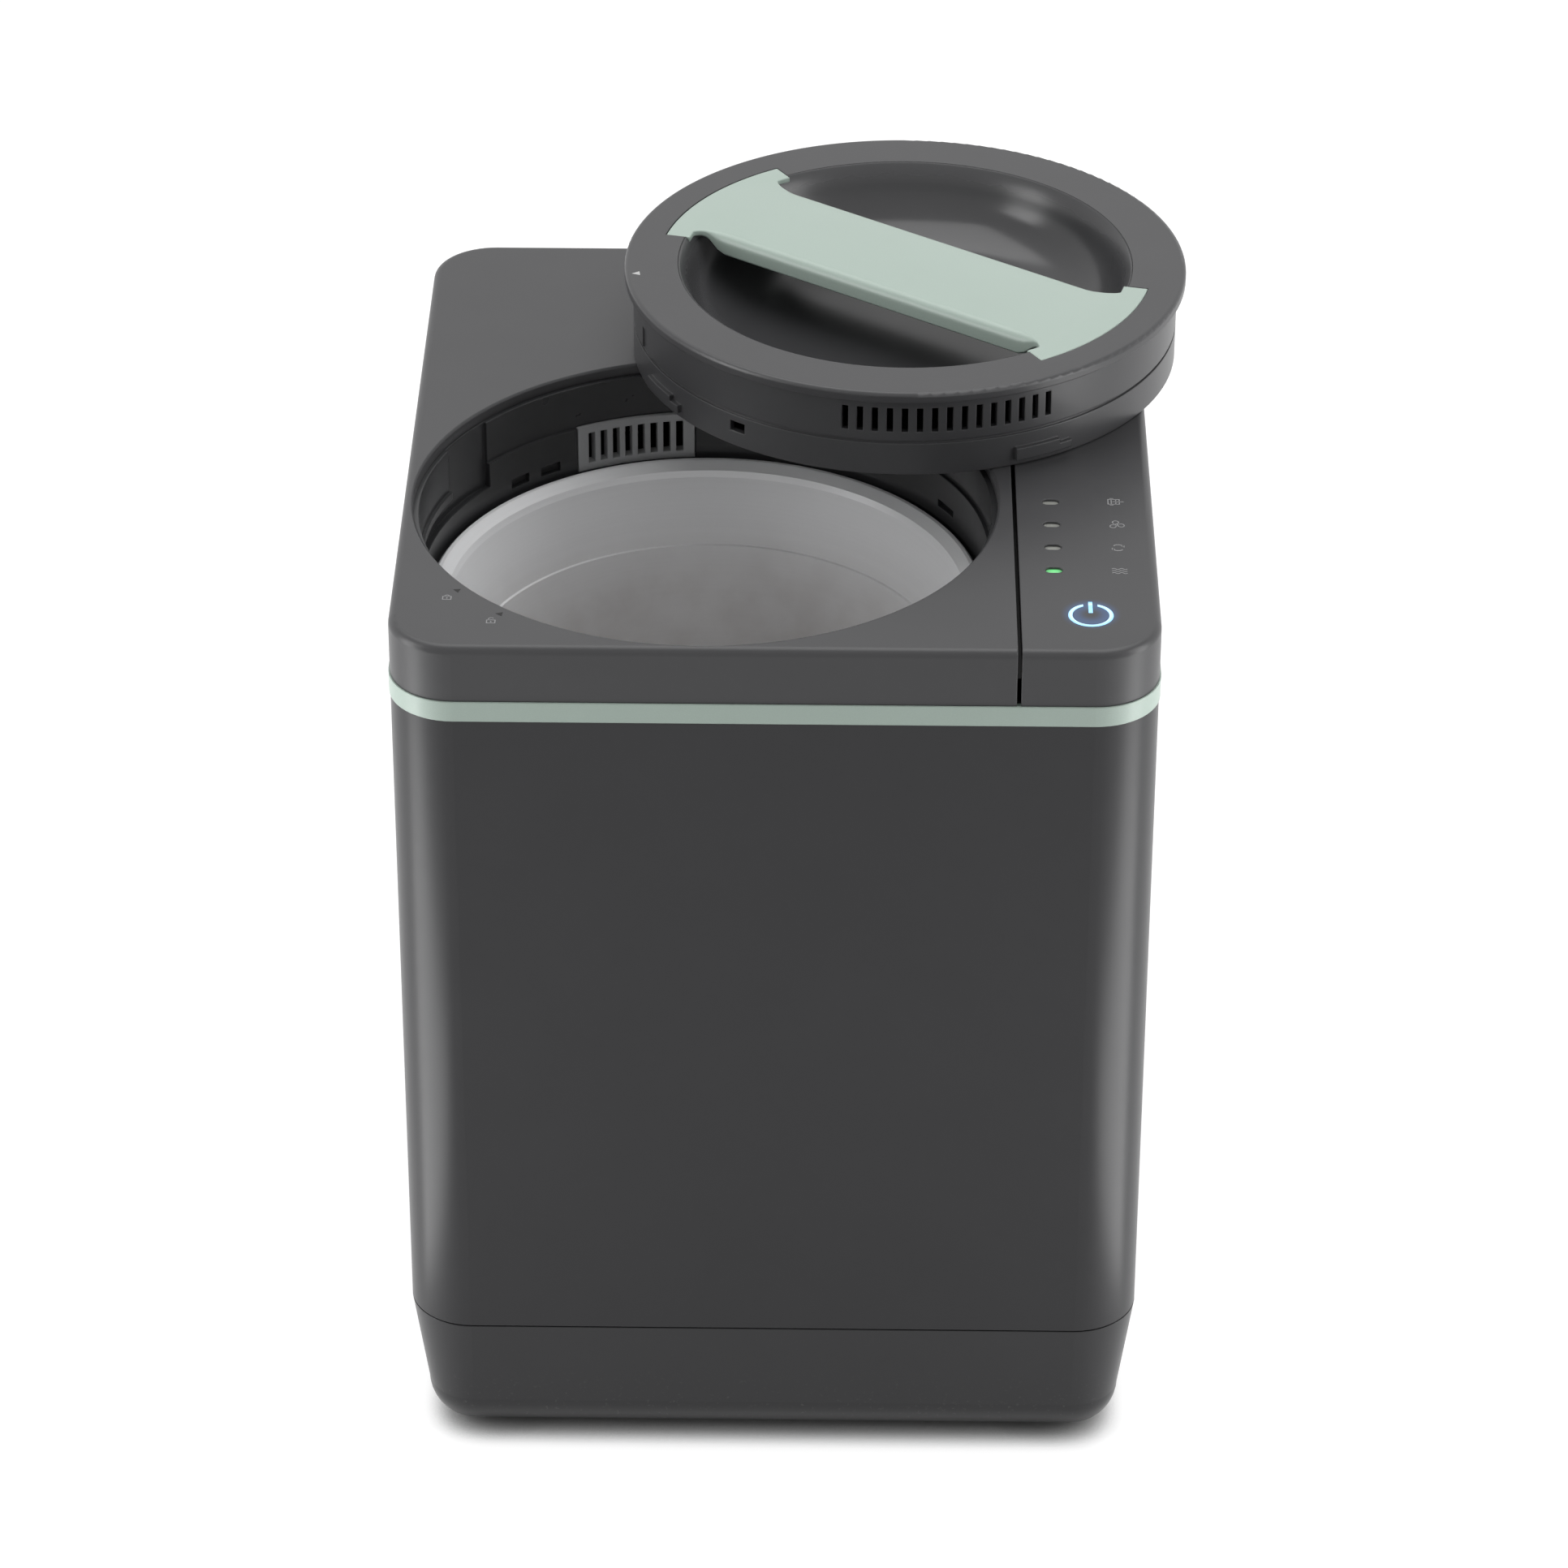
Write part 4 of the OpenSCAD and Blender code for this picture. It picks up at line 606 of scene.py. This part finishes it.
# %% Dish
DISH = ((87.95, 0.06), (87.6, 0.12), (87.2, 0.6), (86.3, 1.8), (85.3, 3.4), (84.1, 5.8), (83.0, 9.5),
        (80.9, 14.6), (76.3, 20.0), (69.5, 23.8), (64.0, 26.0), (56.0, 26.9), (44.0, 27.6), (20.0, 27.65))
DISH_SIDES = 72
dish_mesh = bmesh.new()
dish_rings = [[dish_mesh.verts.new(lid_place @ Vector((r * math.cos(math.tau * i / DISH_SIDES),
                                                      r * math.sin(math.tau * i / DISH_SIDES), -drop)))
               for i in range(DISH_SIDES)] for r, drop in DISH]
for outer, inner in zip(dish_rings, dish_rings[1:]):
    for i in range(DISH_SIDES):
        j = (i + 1) % DISH_SIDES
        dish_mesh.faces.new((outer[i], outer[j], inner[j], inner[i]))
dish_mesh.faces.new(dish_rings[-1])
smoothed(dish_mesh, 60)
dish = finished_piece("lid_dish", dish_mesh, "lid", "lid_plastic")
for kind, settings in (("SUBSURF", {"levels": 1, "render_levels": 1}),
                       ("SOLIDIFY", {"thickness": 0.15 * MM, "offset": -1.0})):
    change = dish.modifiers.new(kind.lower(), kind)
    for key, value in settings.items():
        setattr(change, key, value)
print("dish rings", len(DISH))

# %% [markdown]
# ## Printed signs
# Small signs are pad printed on the top: a closed and an open padlock with arrow heads where
# the lid turns, four signs beside the windows, and a marker on the lid's flange. They could be
# painted into the material as masks, but a drawn mark stays crisp at any distance and can be
# moved. Each sign is a few strokes of ink, built as a ribbon with a real edge a few hundredths
# of a millimetre thick, so it rests on the surface it is printed on.

# %% Ink and strokes
def ink(name, colour, rough=0.5):
    print_ink = Finish(name, rough, specular=0.3)
    thin = print_ink.noise(0.25, 2.0).step(0.25, 0.75)
    print_ink.colour(thin.mix(shade(colour, 0.82), shade(colour, 1.0)))
    print_ink.relief(thin, 0.004, 0.5)
    return print_ink.stuff

grey_ink = ink("grey_ink", (0.30, 0.30, 0.305))
dark_ink = ink("dark_ink", (0.006, 0.006, 0.006))
white_ink = ink("white_ink", (0.62, 0.62, 0.62))
INK_THICK = 0.03

def ribbon(points, width, closed=False):
    """Quads along a line of points, in millimetres."""
    points = [Vector(p) for p in points]
    count, rows = len(points), []
    for i, p in enumerate(points):
        before = points[(i - 1) % count] if closed or i else p
        after = points[(i + 1) % count] if closed or i < count - 1 else p
        run_in, run_out = (p - before), (after - p)
        run = (run_in.normalized() if run_in.length else Vector((0, 0))) + \
              (run_out.normalized() if run_out.length else Vector((0, 0)))
        run = run.normalized()
        across = Vector((-run.y, run.x))
        bend = run_in.normalized().dot(run) if run_in.length and run_out.length else 1.0
        reach = width / 2 / max(bend, 0.5)
        rows.append((p + across * reach, p - across * reach))
    pairs = list(zip(rows, rows[1:] + rows[:1])) if closed else list(zip(rows, rows[1:]))
    return [[a[0], a[1], b[1], b[0]] for a, b in pairs]

def arc(cx, cy, r, start, end, steps=14):
    return [(cx + r * math.cos(math.radians(start + (end - start) * i / steps)),
             cy + r * math.sin(math.radians(start + (end - start) * i / steps))) for i in range(steps + 1)]

def print_sign(name, faces, place, material, body="root", turn=0.0, finish_slot="grille_plastic"):
    mesh = bmesh.new()
    spin = Matrix.Rotation(math.radians(turn), 2)
    for face in faces:
        corners = [mesh.verts.new((*(spin @ Vector(c)), 0.0)) for c in face]
        mesh.faces.new(corners)
    bmesh.ops.remove_doubles(mesh, verts=mesh.verts, dist=0.001)
    raised = bmesh.ops.extrude_face_region(mesh, geom=list(mesh.faces))
    bmesh.ops.translate(mesh, vec=(0, 0, INK_THICK),
                        verts=[v for v in raised["geom"] if isinstance(v, bmesh.types.BMVert)])
    bmesh.ops.recalc_face_normals(mesh, faces=list(mesh.faces))
    bmesh.ops.scale(mesh, vec=(MM, MM, MM), verts=list(mesh.verts))
    bmesh.ops.translate(mesh, vec=place, verts=list(mesh.verts))
    return finished_piece(name, mesh, body, finish_slot, material)

print("ink stands mm", INK_THICK)

# %% [markdown]
# ## Padlocks and arrow heads
# The arrow head on the lid's flange meets the open padlock when the lid is set down and the
# closed one after the twist. Both padlocks are the same body with a shackle that is either
# shut or swung up, drawn small, as a print of this kind is.

# %% Lock signs
def padlock(opened):
    body = ribbon([(-1.5, -1.5), (1.5, -1.5), (1.5, 0.7), (-1.5, 0.7)], 0.4, True)
    lift = 0.7 if opened else 0.0
    shackle = arc(0, 0.7 + lift, 0.95, 180, 20 if opened else 0, 8)
    stem = [(-0.95, 0.7)] if opened else []
    return body + ribbon(stem + shackle, 0.38) + [[(-0.25, -0.9), (0.25, -0.9), (0.25, -0.1), (-0.25, -0.1)]]

# Each place is the sign's middle on the top cover, in metres.
LOCK_PLACES = {"closed": (-0.1189, -0.1236), "open": (-0.1021, -0.1403)}
ARROW_PLACES = {"closed": (-0.1152, -0.1183), "open": (-0.0989, -0.1350)}
MARKER_FROM_AXIS, MARKER_TURN = (-0.1035, -0.012), 96.6
LIFT_OFF = 0.01 * MM
ARROW_HEAD = [[(-1.5, -1.1), (1.5, -1.1), (0, 1.3)]]
MARKER_HEAD = [[(-1.6, -1.2), (1.6, -1.2), (0, 1.9)]]
on_top = cover_top + LIFT_OFF
for state, spot in LOCK_PLACES.items():
    print_sign("lock_sign_" + state, padlock(state == "open"), (*spot, on_top), grey_ink)
for state, spot in ARROW_PLACES.items():
    aim = math.degrees(math.atan2(bucket_mid.y - spot[1], bucket_mid.x - spot[0])) - 90
    print_sign("lock_arrow_" + state, ARROW_HEAD, (*spot, on_top), dark_ink, turn=aim,
               finish_slot="black_plastic")
marker_at = [lid_mid[i] + MARKER_FROM_AXIS[i] for i in range(2)]
print_sign("lid_marker", MARKER_HEAD, (*marker_at, lid_top + LIFT_OFF), white_ink, body="lid",
           turn=MARKER_TURN)
print("signs printed for", list(LOCK_PLACES))

# %% [markdown]
# ## Signs beside the windows
# Four plain signs tell what each window means: a filter box with an arrow through it, a fan,
# two arrows that chase each other round, and three waves of warm air. Each is a handful of
# strokes a few tenths of a millimetre wide.

# %% Status signs
def tip(x, y, turn, size=0.75):
    """An arrow's head: one triangle that points the way it is turned."""
    spin = Matrix.Rotation(math.radians(turn), 2)
    corners = ((-size, size * 0.75), (-size, -size * 0.75), (size * 0.6, 0))
    return [[tuple(Vector((x, y)) + spin @ Vector(c)) for c in corners]]

THIN = 0.40
filter_sign = (ribbon([(-2.6, -1.7), (1.6, -1.7), (1.6, 1.9), (-2.6, 1.9)], THIN, True)
               + ribbon([(-1.4, -1.7), (-1.4, 1.9)], THIN) + ribbon([(0.3, -1.7), (0.3, 1.9)], THIN)
               + ribbon([(-0.9, 0.1), (2.6, 0.1)], THIN) + tip(3.0, 0.1, 0)
               + ribbon([(-2.0, -2.4), (-0.6, -2.4)], THIN) + ribbon([(-2.0, 2.6), (-0.6, 2.6)], THIN))
fan_sign = ribbon(arc(0, 0, 0.5, 0, 360, 12)[:-1], THIN, True)
for lean in (90, 210, 330):
    spin = Matrix.Rotation(math.radians(lean), 2)
    blade = [tuple(spin @ Vector(p)) for p in arc(1.75, 0.35, 1.15, 200, 520, 14)]
    fan_sign += ribbon(blade, THIN)
chase_sign = []
for lean in (0, 180):
    spin = Matrix.Rotation(math.radians(lean), 2)
    sweep = [tuple(spin @ Vector(p)) for p in arc(0, 0, 2.2, 25, 140, 10)]
    point = spin @ Vector((2.2 * math.cos(math.radians(16)), 2.2 * math.sin(math.radians(16))))
    chase_sign += ribbon(sweep, THIN * 1.3) + tip(point.x, point.y, lean - 66, 0.95)
wave_sign = []
for rise in (-1.5, 0.0, 1.5):
    wave_sign += ribbon([(-2.8 + i * 0.28, rise + 0.42 * math.sin(i * 0.63)) for i in range(21)], THIN)

SIGN_BESIDE, SIGN_PITCH = 0.0240, 0.314
sign_x = mid_x + SIGN_BESIDE
for i, (name, strokes) in enumerate((("filter_sign", filter_sign), ("fan_sign", fan_sign),
                                     ("grind_sign", chase_sign), ("dry_sign", wave_sign))):
    spot_y = lens_high.y - strip * (WINDOW_INSET + SIGN_PITCH * i)
    print_sign(name, strokes, (sign_x, spot_y, on_top), grey_ink)
print("status signs at x", round(sign_x, 4))

# %% [markdown]
# ## Floor and backdrop
# The photograph's ground is pure white with one soft shadow under the machine. More light would
# bleach the object, so the white comes from the floor itself: rays from the camera, and those
# that gloss and glass send back, see a floor that glows a little under its own shading and is
# white where nothing shades it. Within a centimetre or so of the base the glow is taken away by
# how much of the room the board can see, which leaves the tight dark line of a real contact.
# Other rays see plain grey board, which lights the machine from below as a table would.

# %% Floor
FLOOR_HALF, CONTACT_REACH = 9.0, 0.014
FLOOR_GLOW, FLOOR_SHOWN, FLOOR_UNSEEN = 0.84, 0.32, 0.50
WHITE = paint(1.0, 1.0, 1.0)

def blank(owner):
    """The emptied node tree of a material or a world, as the start of its sums."""
    owner.use_nodes = True
    owner.node_tree.nodes.clear()
    return Flow(owner.node_tree, None)

def seen_ray(start):
    """1 for a ray that ends in the picture, straight from the camera, off a gloss or through."""
    rays = start.node("ShaderNodeLightPath").parts()
    camera_ray, glossy_ray, through_ray = (rays["Is %s Ray" % kind] for kind in
                                           ("Camera", "Glossy", "Transmission"))
    return 1 - (1 - camera_ray) * (1 - glossy_ray) * (1 - through_ray)

def matt(start, grey):
    return start.node("ShaderNodeBsdfDiffuse", None, {"Color": paint(grey, grey, grey)})

def blend(start, mask, first, second):
    return start.node("ShaderNodeMixShader", None, {0: mask, 1: first, 2: second})

floor_stuff = bpy.data.materials.new("floor_board")
ground = blank(floor_stuff)
seen = seen_ray(ground)
unseen_board, shown = matt(ground, FLOOR_UNSEEN), matt(ground, FLOOR_SHOWN)
glow = ground.node("ShaderNodeEmission", None, {"Color": WHITE, "Strength": FLOOR_GLOW})
both = ground.node("ShaderNodeAddShader", None, {0: shown, 1: glow})
open_sky = ground.node("ShaderNodeAmbientOcclusion", {"samples": 8}, {"Distance": CONTACT_REACH}, "AO")
near = blend(ground, open_sky.step(0.25, 0.85), shown, both)
ground.node("ShaderNodeOutputMaterial", None, {"Surface": blend(ground, seen, unseen_board, near)}, None)

floor_mesh = bmesh.new()
bmesh.ops.create_grid(floor_mesh, x_segments=1, y_segments=1, size=FLOOR_HALF)
floor = placed("floor", floor_mesh, floor_stuff)
print("floor side m", 2 * FLOOR_HALF)

# %% [markdown]
# ## The room
# The room round the machine is white where it is looked at, directly or in a gloss, and a soft
# grey for everything else, brighter overhead than at the walls, so it fills the shadows and
# lifts the top faces without washing out the upright ones.

# %% World
LOW_FILL, HIGH_FILL, SEEN_WHITE = 0.16, 0.50, 1.0
world = bpy.data.worlds.new("room")
bpy.context.scene.world = world
room = blank(world)
outward = room.node("ShaderNodeTexCoord", out="Generated")
height = room.node("ShaderNodeSeparateXYZ", None, {0: outward}, "Z")
low, high, white = (room.node("ShaderNodeBackground", None, {"Color": WHITE, "Strength": level})
                    for level in (LOW_FILL, HIGH_FILL, SEEN_WHITE))
fill = blend(room, height.step(0.0, 0.85), low, high)
room.node("ShaderNodeOutputWorld", None, {"Surface": blend(room, seen_ray(room), fill, white)}, None)
print("fill from", LOW_FILL, "to", HIGH_FILL)

# %% [markdown]
# ## Lamps
# Tall soft lamps stand left and right, so that each rounded corner of the sleeve carries one
# long vertical streak, and a wide panel hangs above and behind, which lifts the top faces and
# leaves the front calm. From this high a camera an upright gloss mirrors the table, so two bright
# cards lie on the table beside the corners, out of the picture. A single lamp would leave half of
# the dark body without form.

# %% Lamps
def soft_lamp(name, place, aim, width, height, watts):
    data = bpy.data.lights.new(name, "AREA")
    data.shape, data.size, data.size_y, data.energy = "RECTANGLE", width, height, watts
    lamp_object = bpy.data.objects.new(name, data)
    bpy.context.scene.collection.objects.link(lamp_object)
    lamp_object.location = place
    lamp_object.rotation_euler = (Vector(aim) - Vector(place)).to_track_quat("-Z", "Y").to_euler()
    return lamp_object

soft_lamp("sky_panel", (0.0, 0.45, 2.1), (0, 0, 0.3), width=1.9, height=1.5, watts=19.0)
for name, x in (("left_strip", -0.95), ("right_strip", 0.95)):
    soft_lamp(name, (x, -0.30, 0.50), (0, -0.10, 0.50), width=0.40, height=1.0, watts=5.5)
for name, x in (("left_card", -0.46), ("right_card", 0.46)):
    card = soft_lamp(name, (x, -0.27, 0.004), (x, -0.27, 1.0), width=0.44, height=0.26, watts=1.5)
    card.visible_camera = False

# %% [markdown]
